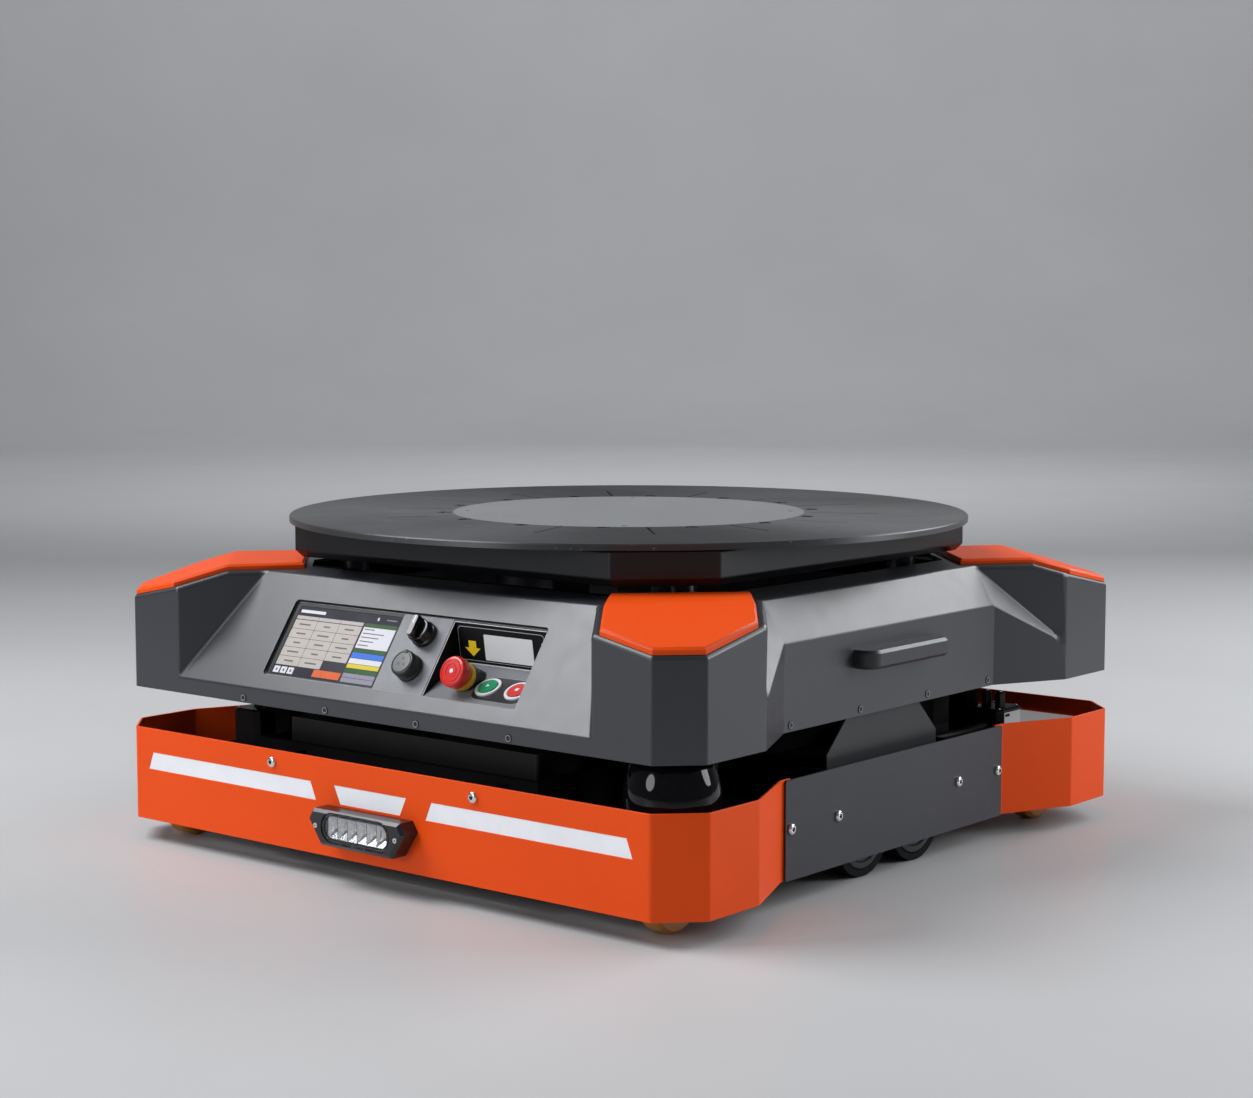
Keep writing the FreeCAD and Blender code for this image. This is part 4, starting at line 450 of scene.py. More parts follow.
def rounded_rectangle(left, right, low, high, radius, steps):
    """Outline of a rectangle with round corners, anticlockwise."""
    points = []
    for corner, (across, up) in enumerate(((right, high), (left, high), (left, low),
                                           (right, low))):
        middle = (across - math.copysign(radius, across - (left + right) / 2),
                  up - math.copysign(radius, up - (low + high) / 2))
        for step in range(steps + 1):
            angle = math.pi / 2 * (corner + step / steps)
            points.append((middle[0] + radius * math.cos(angle),
                           middle[1] + radius * math.sin(angle)))
    return points


def regular_outline(sides, radius, turn=0.0):
    """Corners of a regular polygon, anticlockwise."""
    return [(radius * math.cos(2 * math.pi * i / sides + turn),
             radius * math.sin(2 * math.pi * i / sides + turn)) for i in range(sides)]


def islands(node):
    """Lowest and highest corner of each separate solid of a CAD node."""
    mesh = NODES[node].data
    parent = list(range(len(mesh.vertices)))
    merged = {}
    for vertex in mesh.vertices:
        key = tuple(round(c, 6) for c in vertex.co)
        merged.setdefault(key, vertex.index)
        parent[vertex.index] = merged[key]

    def root(i):
        while parent[i] != i:
            i = parent[i]
        return i

    for edge in mesh.edges:
        first, second = root(edge.vertices[0]), root(edge.vertices[1])
        parent[max(first, second)] = min(first, second)
    groups = {}
    for vertex in mesh.vertices:
        groups.setdefault(root(vertex.index), []).append(vertex.co)
    boxes = []
    for spots in groups.values():
        boxes.append((Vector(min(s[i] for s in spots) for i in range(3)),
                      Vector(max(s[i] for s in spots) for i in range(3))))
    return boxes


def softened(node, width):
    """Rounds the sharp edges of a CAD part where they catch the light."""
    weld = NODES[node].modifiers.new("joined", "WELD")
    weld.merge_threshold = 0.00001
    bevel = NODES[node].modifiers.new("edge", "BEVEL")
    bevel.width = width
    bevel.segments = 3
    bevel.limit_method = "ANGLE"
    bevel.angle_limit = math.radians(30)
    shading = NODES[node].modifiers.new("shading", "WEIGHTED_NORMAL")
    shading.weight = 100


# ---------------------------------------------------------------- screws

def add_button_screw(mesh_data, spot, way, radius, rise, steel=0, socket=1):
    """Domed head on its seat, with a hexagon socket in painted shade."""
    matrix = facing(spot, way)
    profile = [(0, 0), (radius, 0.0), (radius, rise * 0.35)]
    for step in range(1, 6):
        angle = math.pi / 2 * step / 6
        profile.append((radius * (0.48 + 0.52 * math.cos(angle)),
                        rise * (0.35 + 0.65 * math.sin(angle))))
    profile += [(radius * 0.46, rise), (radius * 0.4, rise), (radius * 0.4, rise * 0.4),
                (0, rise * 0.4)]
    add_lathe(mesh_data, profile, matrix, 32, steel)
    # the socket is a dark hexagon at the floor of the recess: painted shade standing for the hole
    add_prism(mesh_data, regular_outline(6, radius * 0.38), rise * 0.3, rise * 0.45, matrix,
              socket)


def make_outer_screws():
    """Button heads over the flat discs of the CAD screws, on whichever side each sits."""
    data = bmesh.new()
    for low, high in islands("outer_screws"):
        middle, size = (low + high) / 2, high - low
        axis = min(range(3), key=lambda i: size[i])
        way = Vector((0, 0, 0))
        way[axis] = math.copysign(1, middle[axis])
        spot = middle - way * size[axis] / 2
        radius = max(size) / 2
        add_button_screw(data, spot, way, radius, size[axis])
    finished("outer_screw_heads", data, ["zinc", "black_and_painted_shade"], "chassis",
             replaces=("outer_screws",))


def make_disc_screws():
    """Socket heads in the counterbores of the disc."""
    data = bmesh.new()
    for low, high in islands("disc_screws"):
        middle = (low + high) / 2
        base = Vector((middle.x, middle.y, low.z))
        radius, rise = (high.x - low.x) / 2, high.z - low.z
        matrix = facing(base, UP)
        edge = radius * 0.06
        add_lathe(data, [(0, 0), (radius, 0), (radius, rise - edge), (radius - edge, rise),
                         (radius * 0.55, rise), (radius * 0.55, rise * 0.3), (0, rise * 0.3)],
                  matrix, 32)
        # the socket is a dark hexagon in the recess: painted shade standing for the hole
        add_prism(data, regular_outline(6, radius * 0.54), rise * 0.1, rise * 0.35, matrix, 1)
    finished("disc_screw_heads", data, ["screw_steel", "black_and_painted_shade"], "turntable",
             replaces=("disc_screws",))


COVER_SCREW_RADIUS = 0.0042
COVER_SCREW_RISE = 0.0012
# places along each side and each end, and heights above the cover's lower edge
SIDE_SCREWS, SIDE_SCREW_HEIGHT = (-0.2294, -0.0785, 0.0785, 0.2294), 0.0085
END_SCREWS, END_SCREW_HEIGHT = (-0.234, -0.0803, 0.0803, 0.234), 0.0067
SIDE_SCREW_INSET = 0.030


def make_cover_screws():
    """Low screws round the lower edge of the cover: a pale rim, with painted shade in the recess
    inside it and in the countersink round it.
    """
    low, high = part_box("upper_cover")
    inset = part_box("side_handles")[1].x - SIDE_SCREW_INSET
    data = bmesh.new()
    spots = []
    for side in (1, -1):
        for along in SIDE_SCREWS:
            spots.append((Vector((side * inset, along, low.z + SIDE_SCREW_HEIGHT)),
                          Vector((side, 0, 0))))
        for across in END_SCREWS:
            spots.append((Vector((across, side * high.y, low.z + END_SCREW_HEIGHT)),
                          Vector((0, side, 0))))
    # the seat is a dark disc: painted shade in the countersink and inside the rim
    seat = ((0, 0), (1.25, 0), (1.25, 0.5), (1.0, 0.6), (0, 0.6))
    rim = ((1.0, 0.5), (1.0, 1.0), (0.8, 1.0), (0.74, 0.7), (0.98, 0.5))
    for spot, way in spots:
        for profile, slot in ((seat, 1), (rim, 0)):
            add_lathe(data, [(COVER_SCREW_RADIUS * r, COVER_SCREW_RISE * h) for r, h in profile],
                      facing(spot, way), 24, slot)
    finished("cover_screw_heads", data, ["screw_rim", "black_and_painted_shade"], "chassis")


make_outer_screws()
make_disc_screws()
make_cover_screws()


# ---------------------------------------------------------------- reading the CAD parts

JOINTS = {joint["name"]: joint for joint in frame["record"]["behaviour"]["joints"]}
OUT_OF_PANEL = Vector(JOINTS["selector_turn"]["axis"])
OUT_OF_SHELF = -Vector(JOINTS["start_press"]["axis"])
OUT_OF_STOP = -Vector(JOINTS["estop_press"]["axis"])
OUT_OF_BACK_WALL = Vector((0, -1, -0.15))


# cosine of the angle to a direction below which a face still counts as looking along it
FACES_ALONG = 0.985


def flat_face(node, way, outermost=False):
    """The largest flat face of a part that looks along way, or its outermost one.

    The face may lean about the X axis only. Returns a matrix with its origin at the face's
    lower left corner, X across, Y up and Z outwards, and the face's width and height.
    """
    mesh = NODES[node].data
    way = Vector(way).normalized()
    sheets = {}
    for polygon in mesh.polygons:
        if polygon.normal.dot(way) > FACES_ALONG:
            depth = round(polygon.normal.dot(polygon.center) / MM, 1)
            sheets.setdefault(depth, []).append(polygon)
    if outermost:
        chosen = sheets[max(sheets)]
    else:
        chosen = max(sheets.values(), key=lambda sheet: sum(p.area for p in sheet))
    normal = max(chosen, key=lambda p: p.area).normal.copy()
    up = normal.cross(ACROSS).normalized()
    spots = [mesh.vertices[i].co for polygon in chosen for i in polygon.vertices]
    left, right = (pick(s.dot(ACROSS) for s in spots) for pick in (min, max))
    low, high = (pick(s.dot(up) for s in spots) for pick in (min, max))
    matrix = Matrix((ACROSS, up, normal)).transposed().to_4x4()
    matrix.translation = ACROSS * left + up * low + normal * spots[0].dot(normal)
    return matrix, right - left, high - low


def end_centre(node, way):
    """Middle of the flat end of a round part that way points to."""
    way = Vector(way).normalized()
    up = way.cross(ACROSS).normalized()
    spots = [v.co for v in NODES[node].data.vertices]
    top = max(s.dot(way) for s in spots)
    rim = [s for s in spots if s.dot(way) > top - 0.05 * MM]
    middle = [(min(s.dot(axis) for s in rim) + max(s.dot(axis) for s in rim)) / 2
              for axis in (ACROSS, up)]
    return ACROSS * middle[0] + up * middle[1] + way * top


def scaled(profile):
    """Points in millimetres as metres."""
    return [tuple(value * MM for value in point) for point in profile]


# ---------------------------------------------------------------- display

UI_MARGIN = 0.6 * MM
UI_LOW, UI_HIGH = 0.02 * MM, 0.14 * MM
UI_MARK_HIGH = 0.22 * MM


def make_screen():
    """Menu on the display: a dark header, a grid of keys, a list with coloured bars."""
    matrix, width, height = flat_face("display_glass", OUT_OF_PANEL)
    names = ["ui_header", "ui_button", "ui_list", "ui_green", "ui_blue", "ui_yellow",
             "ui_orange", "ui_grey", "ui_mark"]
    data = bmesh.new()

    def tile(left, right, top, bottom, material, high=UI_HIGH, radius=0.4 * MM):
        """Left and right are parts of the screen's width, top and bottom of its height."""
        outline = rounded_rectangle(left * width + UI_MARGIN / 2, right * width - UI_MARGIN / 2,
                                    (1 - bottom) * height + UI_MARGIN / 2,
                                    (1 - top) * height - UI_MARGIN / 2, radius, 2)
        add_prism(data, outline, UI_LOW, high, matrix, names.index(material))

    tile(0.0, 1.0, 0.0, 0.13, "ui_header")
    tile(0.0, 0.675, 0.88, 1.0, "ui_header")
    tile(0.02, 0.27, 0.045, 0.095, "ui_list", UI_MARK_HIGH)
    tile(0.78, 0.80, 0.04, 0.09, "ui_list", UI_MARK_HIGH)
    tile(0.87, 0.97, 0.055, 0.075, "ui_grey", UI_MARK_HIGH)
    key_width, key_height, first_row = 0.222, 0.135, 0.195
    rows = [(0.135, 0.19)] + [(first_row + key_height * i, first_row + key_height * (i + 1))
                              for i in range(5)]
    for row, (top, bottom) in enumerate(rows):
        for column in range(3):
            if (row, column) == (5, 2):
                continue
            left = 0.005 + column * key_width
            tile(left, left + key_width, top, bottom, "ui_button")
            if row:
                reach = 0.035 + 0.012 * ((row * 2 + column) % 3)
                middle, level = left + key_width / 2, (top + bottom) / 2
                tile(middle - reach, middle + reach, level - 0.014, level + 0.014, "ui_mark",
                     UI_MARK_HIGH, 0.15 * MM)
    for i in range(3):
        tile(0.01 + 0.07 * i, 0.07 + 0.07 * i, 0.89, 0.99, "ui_list", UI_MARK_HIGH)
        tile(0.03 + 0.07 * i, 0.05 + 0.07 * i, 0.92, 0.96, "ui_mark", UI_MARK_HIGH + 0.06 * MM)
    tile(0.40, 0.67, 0.875, 0.985, "ui_orange", UI_MARK_HIGH)
    bars = (("ui_green", 0.055), ("ui_list", 0.31), ("ui_green", 0.06), ("ui_blue", 0.085),
            ("ui_list", 0.08), ("ui_yellow", 0.065), ("ui_green", 0.07), ("ui_grey", 0.065),
            ("ui_grey", 0.07))
    top = 0.135
    for material, tall in bars:
        tile(0.685, 0.995, top, top + tall, material)
        top += tall
    for line in range(5):
        level = 0.215 + 0.057 * line
        tile(0.70, 0.80 + 0.035 * (line * 3 % 4), level, level + 0.02, "ui_mark", UI_MARK_HIGH,
             0.1 * MM)
    finished("display_menu", data, names, "chassis")


# ---------------------------------------------------------------- pocket with the buttons

def make_pocket_lining():
    """Black back wall with its labels, black left wall, button plate, and painted highlights on
    the crease and on the edges of the plates.
    """
    wall, wall_width, wall_height = flat_face("control_plate", OUT_OF_BACK_WALL)
    shelf, shelf_width, shelf_depth = flat_face("control_plate", OUT_OF_SHELF)
    black, white, yellow, edge_highlight = range(4)
    data = bmesh.new()
    near_wall, skin, gap = 0.02 * MM, 0.3 * MM, 0.1 * MM
    add_prism(data, [(gap, gap), (wall_width - gap, gap), (wall_width - gap, wall_height),
                     (gap, wall_height)], near_wall, skin, wall, black)
    left, right, low, high = 3 * MM, wall_width - 5 * MM, 4 * MM, wall_height - 4 * MM
    line = 0.7 * MM
    # a light plate under the black one shows round its edge: a painted highlight
    for inset, slot, top in ((0.0, edge_highlight, 0.65), (line, black, 0.8)):
        outline = rounded_rectangle(left + inset, right - inset, low + inset, high - inset,
                                    6 * MM - inset, 6)
        add_prism(data, outline, skin, top * MM, wall, slot)
    label = rounded_rectangle(46.5 * MM, 127 * MM, 6.5 * MM, 39.5 * MM, 1.6 * MM, 4)
    add_prism(data, label, 0.8 * MM, 1.0 * MM, wall, white)
    arrow = scaled([(19.8, 29.5), (19.8, 20.5), (13, 20.5), (26, 9.5), (39, 20.5), (32.2, 20.5),
                    (32.2, 29.5)])
    add_prism(data, arrow, 0.8 * MM, 1.0 * MM, wall, yellow)
    dot = wall @ Matrix.Translation(Vector((wall_width - 8.5 * MM, 35 * MM, 0.8 * MM)))
    add_lathe(data, scaled([(0, 0), (1.7, 0), (1.7, 0.3), (1.3, 0.6), (0, 0.6)]), dot, 20, white)

    side = [shelf @ Vector((0, 0, 0)), shelf @ Vector((0, shelf_depth, 0)),
            wall @ Vector((0, wall_height, 0))]
    near, far = [[data.verts.new(spot + ACROSS * reach) for spot in side]
                 for reach in (near_wall, skin)]
    for cap in (near[::-1], far):
        data.faces.new(cap).material_index = black
    bridge(data, near, far, black)
    finished("pocket_lining", data, ["black_sheet_and_painted_shadow", "label_white", "arrow_yellow", "painted_edge_highlight"],
             "chassis")

    data = bmesh.new()
    # a light strip along the back of the shelf: a painted highlight on the crease
    left, right = 0.4 * MM, shelf_width - 0.2 * MM
    low, high = shelf_depth - 2.6 * MM, shelf_depth - 0.4 * MM
    add_prism(data, [(left, low), (right, low), (right, high), (left, high)], 0.0, 1.1 * MM,
              shelf, 1)
    left, right, low, high = 66 * MM, shelf_width - 0.5 * MM, 8 * MM, 54 * MM
    # the dark plate over a slightly larger light one, which shows round its edge: a painted
    # highlight
    for grow, slot, under, over in ((0.7, 1, 0.02, 0.35), (0.0, 0, 0.35, 0.6)):
        outline = rounded_rectangle(left - grow * MM, right, low, high + grow * MM, 17 * MM, 8)
        add_prism(data, outline, under * MM, over * MM, shelf, slot, 0.1 * MM)
    finished("button_plate", data, ["port_black", "painted_edge_highlight"], "chassis")


def make_painted_pocket_rim():
    """Painted shadow and highlight round the left side and the top of the pocket: a black band
    with a light line on its inner edge.
    """
    sheet, _, sheet_height = flat_face("control_plate", OUT_OF_PANEL, True)
    shelf, _, _ = flat_face("control_plate", OUT_OF_SHELF)
    wall, wall_width, wall_height = flat_face("control_plate", OUT_OF_BACK_WALL)
    flat = sheet.inverted()
    low = flat @ (shelf @ Vector((0, 0, 0)))
    high = flat @ (wall @ Vector((0, wall_height, 0)))
    right = low.x + wall_width
    data = bmesh.new()
    # the outer black band is painted shadow along the gap, the inner light line a painted
    # highlight on the edge
    for outer, inner, slot, rise in ((2.6 * MM, 0.9 * MM, 0, 0.25 * MM),
                                     (0.9 * MM, 0.1 * MM, 1, 0.4 * MM)):
        outline = [(low.x - outer, low.y), (low.x - inner, low.y),
                   (high.x - inner, high.y + inner), (right, high.y + inner),
                   (right, high.y + outer), (high.x - outer, high.y + outer)]
        base = [data.verts.new((x, y, 0.01 * MM)) for x, y in outline]
        top = [data.verts.new((x, y, rise)) for x, y in outline]
        for quad in ((0, 1, 2, 5), (2, 3, 4, 5)):
            data.faces.new([top[i] for i in quad]).material_index = slot
            data.faces.new([base[i] for i in reversed(quad)]).material_index = slot
        bridge(data, base, top, slot)
    # one strip of painted shadow up the sheet's left edge and one along its top, where the
    # opening's side wall is in shade
    left, above = 0.1 * MM, sheet_height - 0.1 * MM
    for below, reach in ((5 * MM, 2.3 * MM), (sheet_height - 1.6 * MM, right)):
        strip = [(left, below), (reach, below), (reach, above), (left, above)]
        add_prism(data, strip, 0.01 * MM, 0.3 * MM, Matrix.Identity(4), 0)
    placed(data, [data.verts], sheet)
    finished("pocket_rim_shadow_and_highlight", data, ["black_sheet_and_painted_shadow", "painted_edge_highlight"], "chassis")


RING_TOP = 3.2   # mm above the shelf: the rings' top, and the underside of the caps' flanges
ROUND_CREASE = 34.0   # degrees, for small turned parts


def make_buttons():
    """Flat push buttons in white rings: a triangle on the green one, a square on the red."""
    rings = bmesh.new()
    triangle = regular_outline(3, 3.4 * MM, -math.pi / 2)
    square = rounded_rectangle(-2.6 * MM, 2.6 * MM, -2.6 * MM, 2.6 * MM, 0.3 * MM, 2)
    shelf = flat_face("control_plate", OUT_OF_SHELF)[0].translation
    for label, colour, mark in (("start", "start_green", triangle), ("stop", "stop_red", square)):
        node = label + "_button"
        cap_end = end_centre(node, OUT_OF_SHELF)
        lift = (cap_end - shelf).dot(OUT_OF_SHELF)
        matrix = facing(cap_end - OUT_OF_SHELF * lift, OUT_OF_SHELF)
        add_lathe(rings, scaled([(13.3, 0.6), (17.5, 0.6), (17.5, 2.5), (16.9, RING_TOP),
                                 (14, RING_TOP), (13.3, 2.6)]), matrix, 56)
        cap = bmesh.new()
        add_lathe(cap, scaled([(0, -9), (10.4, -9), (10.4, RING_TOP), (12.9, RING_TOP),
                               (12.9, 3.8), (12.3, 4.3), (0, 4.4)]), matrix, 56)
        add_prism(cap, mark, 4.2 * MM, 4.6 * MM, matrix, 1)
        finished(label + "_cap", cap, [colour, "label_white"], node, ROUND_CREASE,
                 replaces=(node,))
    finished("white_rings", rings, ["ring_white"], "chassis", ROUND_CREASE,
             replaces=("button_rings",))


def make_estop():
    """Mushroom head with turned rings, over a yellow collar on a black barrel."""
    head = scaled([(0, -50), (10.4, -50), (10.4, -15.4), (17.2, -15.4), (19.2, -14.6),
                   (20, -12.8), (20, -4.6), (19.5, -2.4), (18, -0.9), (15.4, -0.4), (15, -1),
                   (14.2, -1), (13.8, -0.35), (9.2, -0.2), (8.8, -0.8), (8.1, -0.8), (7.7, -0.15),
                   (3.6, -0.05), (3.4, -0.5), (3, -0.5)])
    matrix = facing(end_centre("estop_button", OUT_OF_STOP), OUT_OF_STOP)
    data = bmesh.new()
    add_lathe(data, head + scaled([(2.8, -0.05), (0, 0)]), matrix, 64)
    for face in data.faces:
        middle = matrix.inverted() @ face.calc_center_median()
        if middle.xy.length < 3 * MM and middle.z > -0.6 * MM:
            face.material_index = 1
    finished("estop_head", data, ["estop_red", "label_white"], "estop_button", ROUND_CREASE,
             replaces=("estop_button",))
    matrix = facing(end_centre("estop_collar", OUT_OF_STOP), OUT_OF_STOP)
    data = bmesh.new()
    add_lathe(data, scaled([(11.1, -36), (16.6, -36), (16.6, -12), (17.2, -11.6), (17.6, -11),
                            (17.6, -8.4), (17.2, -7.9), (11.1, -7.9)]), matrix, 56, 1)
    add_lathe(data, scaled([(11.1, -7.8), (16.8, -7.8), (17.4, -7.2), (18.3, -0.5), (17.8, 0),
                            (11.1, 0)]), matrix, 56, 0)
    finished("estop_barrel", data, ["estop_yellow", "beacon_black"], "chassis", ROUND_CREASE,
             replaces=("estop_collar",))


def make_selector():
    """Rotary selector: stepped round base, raised grip with a white pointer at its end."""
    matrix = facing(JOINTS["selector_turn"]["pos_m"], OUT_OF_PANEL, (1, 0, 0))
    data = bmesh.new()
    add_lathe(data, scaled([(0, -18), (10.4, -18), (10.4, -2.6), (17, -2.6), (17.5, -2),
                            (17.5, 2.6), (17, 3.4), (16.2, 3.7), (15.8, 4.3), (15.8, 13.4),
                            (15.2, 14.5), (14, 15), (11, 15), (10.6, 14.4), (0, 14.4)]),
              matrix, 56)
    grip = rounded_rectangle(-4.2 * MM, 4.2 * MM, -14 * MM, 15.6 * MM, 3 * MM, 4)
    add_prism(data, grip, 14 * MM, 25.8 * MM, matrix, 0, 1.3 * MM)
    pointer = rounded_rectangle(-1.3 * MM, 1.3 * MM, 3 * MM, 13.4 * MM, 0.8 * MM, 3)
    add_prism(data, pointer, 25.6 * MM, 26 * MM, matrix, 1)
    finished("selector_body", data, ["knob_black", "label_white"], "selector_knob", ROUND_CREASE,
             replaces=("selector_knob",))


def make_port_cap():
    """Screw cap with a stepped rim, a raised disc, three small rings and a notch filled with
    painted shade.
    """
    matrix = facing(JOINTS["port_cap_turn"]["pos_m"], OUT_OF_PANEL, (1, 0, 0))
    data = bmesh.new()
    add_lathe(data, scaled([(0, -18), (10.4, -18), (10.4, -2.6), (18, -2.6), (18.5, -2),
                            (18.5, 1.4), (18, 2.2), (17.4, 2.6), (17.6, 3.2), (17.6, 13.6),
                            (17, 15), (15.8, 16), (14.6, 16.2), (14.2, 15.7), (13.6, 15.7),
                            (13.2, 16.4), (0, 16.8)]), matrix, 56)
    # a dark block in the notch: painted shade
    notch = rounded_rectangle(-2.4 * MM, 2.4 * MM, 12.2 * MM, 17.4 * MM, 1.2 * MM, 3)
    add_prism(data, notch, 14 * MM, 16.9 * MM, matrix, 1, 0.4 * MM)
    for turn in (0.0, 2.1, 4.2):
        spot = matrix @ Matrix.Rotation(turn, 4, "Z") @ Matrix.Translation((0, 5 * MM, 16.6 * MM))
        add_lathe(data, scaled([(1.5, 0), (1.5, 0.35), (2, 0.35), (2, 0)]), spot, 20, 0)
    finished("service_port_cap", data, ["port_black", "black_and_painted_shade"], "port_cap", ROUND_CREASE,
             replaces=("port_cap",))


# ---------------------------------------------------------------- warning lights

LED_COUNT = 6
LED_PITCH = 17.2 * MM


def make_beacons():
    """Clear lens over a row of pyramid reflectors, each with its chip, and two end screws."""
    plate_y = max(abs(v) for v in (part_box("warning_light_housings")[0].y,
                                   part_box("warning_light_housings")[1].y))
    mouth, throat = LED_PITCH * 0.47, 2.6 * MM
    chip = rounded_rectangle(-1.9 * MM, 1.9 * MM, -1.9 * MM, 1.9 * MM, 0.4 * MM, 2)
    for number, (low, high) in enumerate(islands("warning_light_lenses")):
        way = Vector((0, math.copysign(1, low.y + high.y), 0))
        front = Vector(((low.x + high.x) / 2, max(abs(low.y), abs(high.y)) * way.y,
                        (low.z + high.z) / 2))
        matrix = facing(front, way, (-way.y, 0, 0))
        half, radius = (high.x - low.x) / 2, (high.z - low.z) / 2

        def stadium(inset):
            return rounded_rectangle(inset - half, half - inset, inset - radius, radius - inset,
                                     radius - inset, 10)

        tray = bmesh.new()
        add_prism(tray, stadium(0.3 * MM), -15 * MM, -13.6 * MM, matrix, 2)
        add_frame(tray, stadium(0.3 * MM), stadium(3.4 * MM), -13.6 * MM, -4.5 * MM, matrix, 2)
        for i in range(LED_COUNT):
            across = (i - (LED_COUNT - 1) / 2) * LED_PITCH
            spot = matrix @ Matrix.Translation(Vector((across, 0, 0)))
            corners = [[tray.verts.new((sx * x, sy * y, z))
                        for sx, sy in ((-1, -1), (1, -1), (1, 1), (-1, 1))]
                       for x, y, z in ((mouth, radius * 0.74, -4.6 * MM),
                                       (throat, throat, -12.8 * MM))]
            bridge(tray, *corners)
            tray.faces.new(corners[1])
            placed(tray, corners, spot)
            add_prism(tray, chip, -12.9 * MM, -12.3 * MM, spot, 1)
        end = "front" if way.y < 0 else "rear"
        finished(f"beacon_tray_{end}", tray, ["reflector", "led_chip", "beacon_black"],
                 "chassis", 20)
        lens = bmesh.new()
        add_frame(lens, stadium(0.1 * MM), stadium(4.2 * MM), -4.2 * MM, -1.2 * MM, matrix)
        add_frame(lens, stadium(1.6 * MM), stadium(3.4 * MM), -1.2 * MM, 0.0, matrix)
        add_prism(lens, stadium(4.3 * MM), -3.4 * MM, -2.0 * MM, matrix, 0, 0.5 * MM)
        finished(f"beacon_lens_{end}", lens, ["clear_lens"], "chassis", 30,
                 replaces=("warning_light_lenses",) if number == 0 else ())
        screws = bmesh.new()
        for side in (1, -1):
            spot = Vector((front.x + side * (half + 10.5 * MM), way.y * (plate_y - 0.05 * MM),
                           front.z))
            add_button_screw(screws, spot, way, 3.3 * MM, 0.2 * MM)
        finished(f"beacon_screws_{end}", screws, ["zinc", "black_and_painted_shade"], "chassis")


# ---------------------------------------------------------------- boxes and conduits in the gap

RIB_PITCH = 2.3 * MM


def make_conduits():
    """Ribbed conduit from each junction box, along the same bend as the solid."""
    data = bmesh.new()
    for low, high in islands("cable_conduits"):
        radius = (high.z - low.z) / 2
        side = math.copysign(1, low.x + high.x)
        sway = (high.x - low.x - 2 * radius) * side
        start_x = low.x + radius if side > 0 else high.x - radius
        level = (low.z + high.z) / 2
        length = high.y - low.y
        steps = 4 * int(length / RIB_PITCH)
        rings = []
        for i in range(steps + 1):
            part = i / steps
            middle = Vector((start_x + sway * math.sin(math.pi * part) ** 2,
                             low.y + length * part, level))
            size = radius * (0.99 if i % 4 in (1, 2) else 0.8)
            rings.append([data.verts.new(middle + Vector((x, 0, z)))
                          for x, z in regular_outline(16, size)])
        for first, second in zip(rings, rings[1:]):
            bridge(data, first, second)
        data.faces.new(rings[0])
        data.faces.new(rings[-1])
    finished("ribbed_conduits", data, ["hose_black"], "chassis", 50, replaces=("cable_conduits",))


def make_box_fittings():
    """Caps on the glands of the junction boxes, lid screws, and a blank light label."""
    data = bmesh.new()
    for low, high in islands("junction_boxes"):
        middle, size = (low + high) / 2, high - low
        top = Vector((middle.x, middle.y, high.z))
        if size.x < 20 * MM:
            matrix = facing(top, UP)
            add_lathe(data, scaled([(0, -0.5), (6.8, -0.5), (6.8, 0.6), (6, 1.8), (4.4, 2.4),
                                    (4.2, 1.6), (0, 1.6)]), matrix, 32, 1)
            add_lathe(data, scaled([(0, 1.2), (3.8, 1.2), (3.8, 3), (3, 3.6), (0, 3.6)]),
                      matrix, 24)
            continue
        side = math.copysign(1, middle.x)
        for reach_x, reach_y in ((1, 1), (1, -1), (-1, 1), (-1, -1)):
            spot = top + Vector((reach_x * (size.x / 2 - 8 * MM), reach_y * (size.y / 2 - 8 * MM),
                                 -0.1 * MM))
            add_button_screw(data, spot, UP, 2.6 * MM, 1.3 * MM)
        face = Vector((middle.x + side * size.x / 2, middle.y, high.z - 15 * MM))
        matrix = facing(face, (side, 0, 0), (0, side, 0))
        outline = rounded_rectangle(-22 * MM, 22 * MM, -10 * MM, 10 * MM, 2 * MM, 4)
        add_prism(data, outline, -0.1 * MM, 0.3 * MM, matrix, 2)
        add_prism(data, rounded_rectangle(-20 * MM, -8 * MM, 4 * MM, 8 * MM, 0.5 * MM, 2),
                  0.3 * MM, 0.4 * MM, matrix, 1)
    finished("box_fittings", data, ["rim_chrome", "black_and_painted_shade", "label_white"], "chassis")


# ---------------------------------------------------------------- wheels

def make_hub_caps():
    """Cast hub face with a cap and bolts on each drive wheel."""
    for end in ("front", "rear"):
        for side, sign in (("right", 1), ("left", -1)):
            node = f"drive_wheel_{end}_{side}"
            low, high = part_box(node)
            middle = (low + high) / 2
            outer = high.x if sign > 0 else low.x
            matrix = facing((outer, middle.y, middle.z), (sign, 0, 0), (0, 1, 0))
            data = bmesh.new()
            add_lathe(data, scaled([(47.5, -2), (47.5, 0.3), (46, 0.9), (40, 0.9), (38, -1.2),
                                    (22, -1.2), (20, 0.9), (12, 0.9), (11, 0.2), (0, 0.2)]),
                      matrix, 56)
            for x, y in regular_outline(5, 29 * MM):
                add_button_screw(data, matrix @ Vector((x, y, -1.3 * MM)), (sign, 0, 0), 4.4 * MM,
                                 2.2 * MM, 1, 2)
            finished(f"hub_{end}_{side}", data, ["wheel_hub", "zinc", "black_and_painted_shade"], node,
                     ROUND_CREASE)


make_screen()
make_pocket_lining()
make_painted_pocket_rim()
make_buttons()
make_estop()
make_selector()
make_port_cap()
make_beacons()
make_conduits()
make_box_fittings()
make_hub_caps()

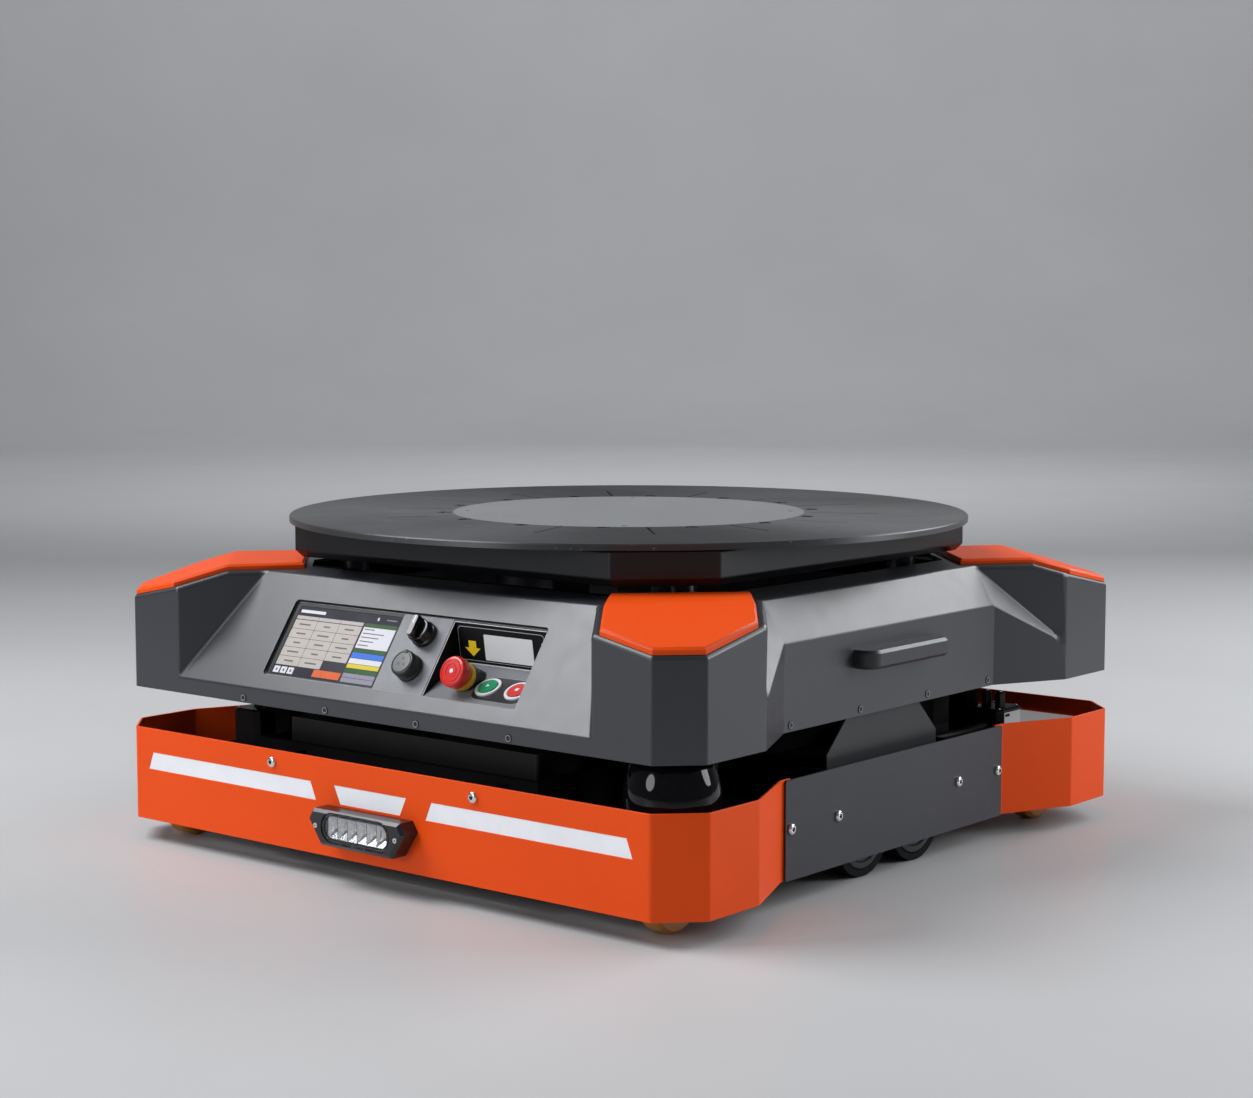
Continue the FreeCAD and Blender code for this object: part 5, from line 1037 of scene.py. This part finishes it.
# millimetres of rounding on the edges of CAD parts
for node, width in (("front_bumper", 0.7), ("rear_bumper", 0.7), ("side_panels", 0.5),
                    ("side_brackets", 0.6), ("side_handles", 1.2), ("lift_platform", 2.2),
                    ("corner_caps", 1.0), ("warning_light_housings", 1.2),
                    ("junction_boxes", 0.8), ("display_bezel", 0.3), ("scanner_bodies", 0.8),
                    ("upper_cover", 2.4)):
    softened(node, width * MM)


# ---------------------------------------------------------------- floor, lights and camera

CAMERA_HEADING = math.radians(39.549)
CAMERA_TILT = math.radians(5.86)
CAMERA_SPOT = Vector((2.1618, -2.6226, 0.7370))
CAMERA_LENS, CAMERA_SENSOR, CAMERA_REACH = 70.13, 36, 60

FLOOR_RADIUS, SWEEP_RADIUS, WALL_TOP = 9.0, 3.5, 8.0
FLOOR_DARK, FLOOR_LIGHT = (0.56, 0.56, 0.565), (0.61, 0.61, 0.615)
WORLD_COLOUR, WORLD_STRENGTH = (0.69, 0.72, 0.77, 1), 0.22
LAMP_COLOUR = (0.96, 0.98, 1.0)
# name, where it hangs, where it aims, width and height in metres, watts
LAMPS = (
    ("front_slope_light", (-1.7, -1.6, 2.9), (0, -0.45, 0.3), 2.4, 2.4, 110),
    ("side_slope_light", (1.4, 3.2, 2.3), (0.4, 0.2, 0.3), 3.0, 2.2, 88),
    ("corner_light", (2.8, 1.8, 1.2), (0.5, -0.45, 0.25), 1.4, 1.4, 34),
    ("front_fill", (-0.8, -4.4, 1.4), (0, -0.3, 0.2), 1.6, 1.4, 38),
    ("wall_light", (-2.2, 3.4, 4.4), (-7, 8.5, 3.8), 3, 3, 300),
)


def make_floor():
    """Pale floor that sweeps up into a wall all round, with no line between them."""
    data = bmesh.new()
    sweep = [(0, 0), (2.5, 0), (5, 0), (FLOOR_RADIUS, 0)]
    for step in range(1, 13):
        angle = math.pi / 2 * step / 12
        sweep.append((FLOOR_RADIUS + SWEEP_RADIUS * math.sin(angle),
                      SWEEP_RADIUS * (1 - math.cos(angle))))
    sweep.append((FLOOR_RADIUS + SWEEP_RADIUS, WALL_TOP))
    add_lathe(data, sweep, Matrix.Identity(4), 96)
    surface = Surface("floor_paint", specular=0.35)
    surface.colour(surface.noise(0.6, 4), FLOOR_DARK, FLOOR_LIGHT)
    surface.roughness(surface.noise(3, 4), 0.42, 0.5)
    floor = linked("floor", data, [surface.material], 180)


def aimed(name, data, spot, way):
    """A lamp or camera at spot, looking along way."""
    holder = bpy.data.objects.new(name, data)
    holder.location = spot
    holder.rotation_euler = way.to_track_quat("-Z", "Y").to_euler()
    bpy.context.scene.collection.objects.link(holder)
    return holder


def make_lights():
    """Soft lamps round the robot, and a dim even sky."""
    for name, spot, target, width, height, watts in LAMPS:
        lamp = bpy.data.lights.new(name, "AREA")
        lamp.shape = "ELLIPSE"
        lamp.size, lamp.size_y = width, height
        lamp.energy = watts
        lamp.color = LAMP_COLOUR
        aimed(name, lamp, spot, Vector(target) - Vector(spot))
    world = bpy.data.worlds.new("studio")
    world.use_nodes = True
    backdrop = world.node_tree.nodes["Background"]
    backdrop.inputs["Color"].default_value = WORLD_COLOUR
    backdrop.inputs["Strength"].default_value = WORLD_STRENGTH
    bpy.context.scene.world = world
    bpy.context.scene.view_settings.view_transform = "Standard"


def make_camera():
    """The view of the photo."""
    lens = bpy.data.cameras.new("camera")
    lens.lens = CAMERA_LENS
    lens.sensor_width = CAMERA_SENSOR
    lens.clip_end = CAMERA_REACH
    way = Vector((-math.sin(CAMERA_HEADING) * math.cos(CAMERA_TILT),
                  math.cos(CAMERA_HEADING) * math.cos(CAMERA_TILT), -math.sin(CAMERA_TILT)))
    bpy.context.scene.camera = aimed("camera", lens, CAMERA_SPOT, way)


make_floor()
make_lights()
make_camera()
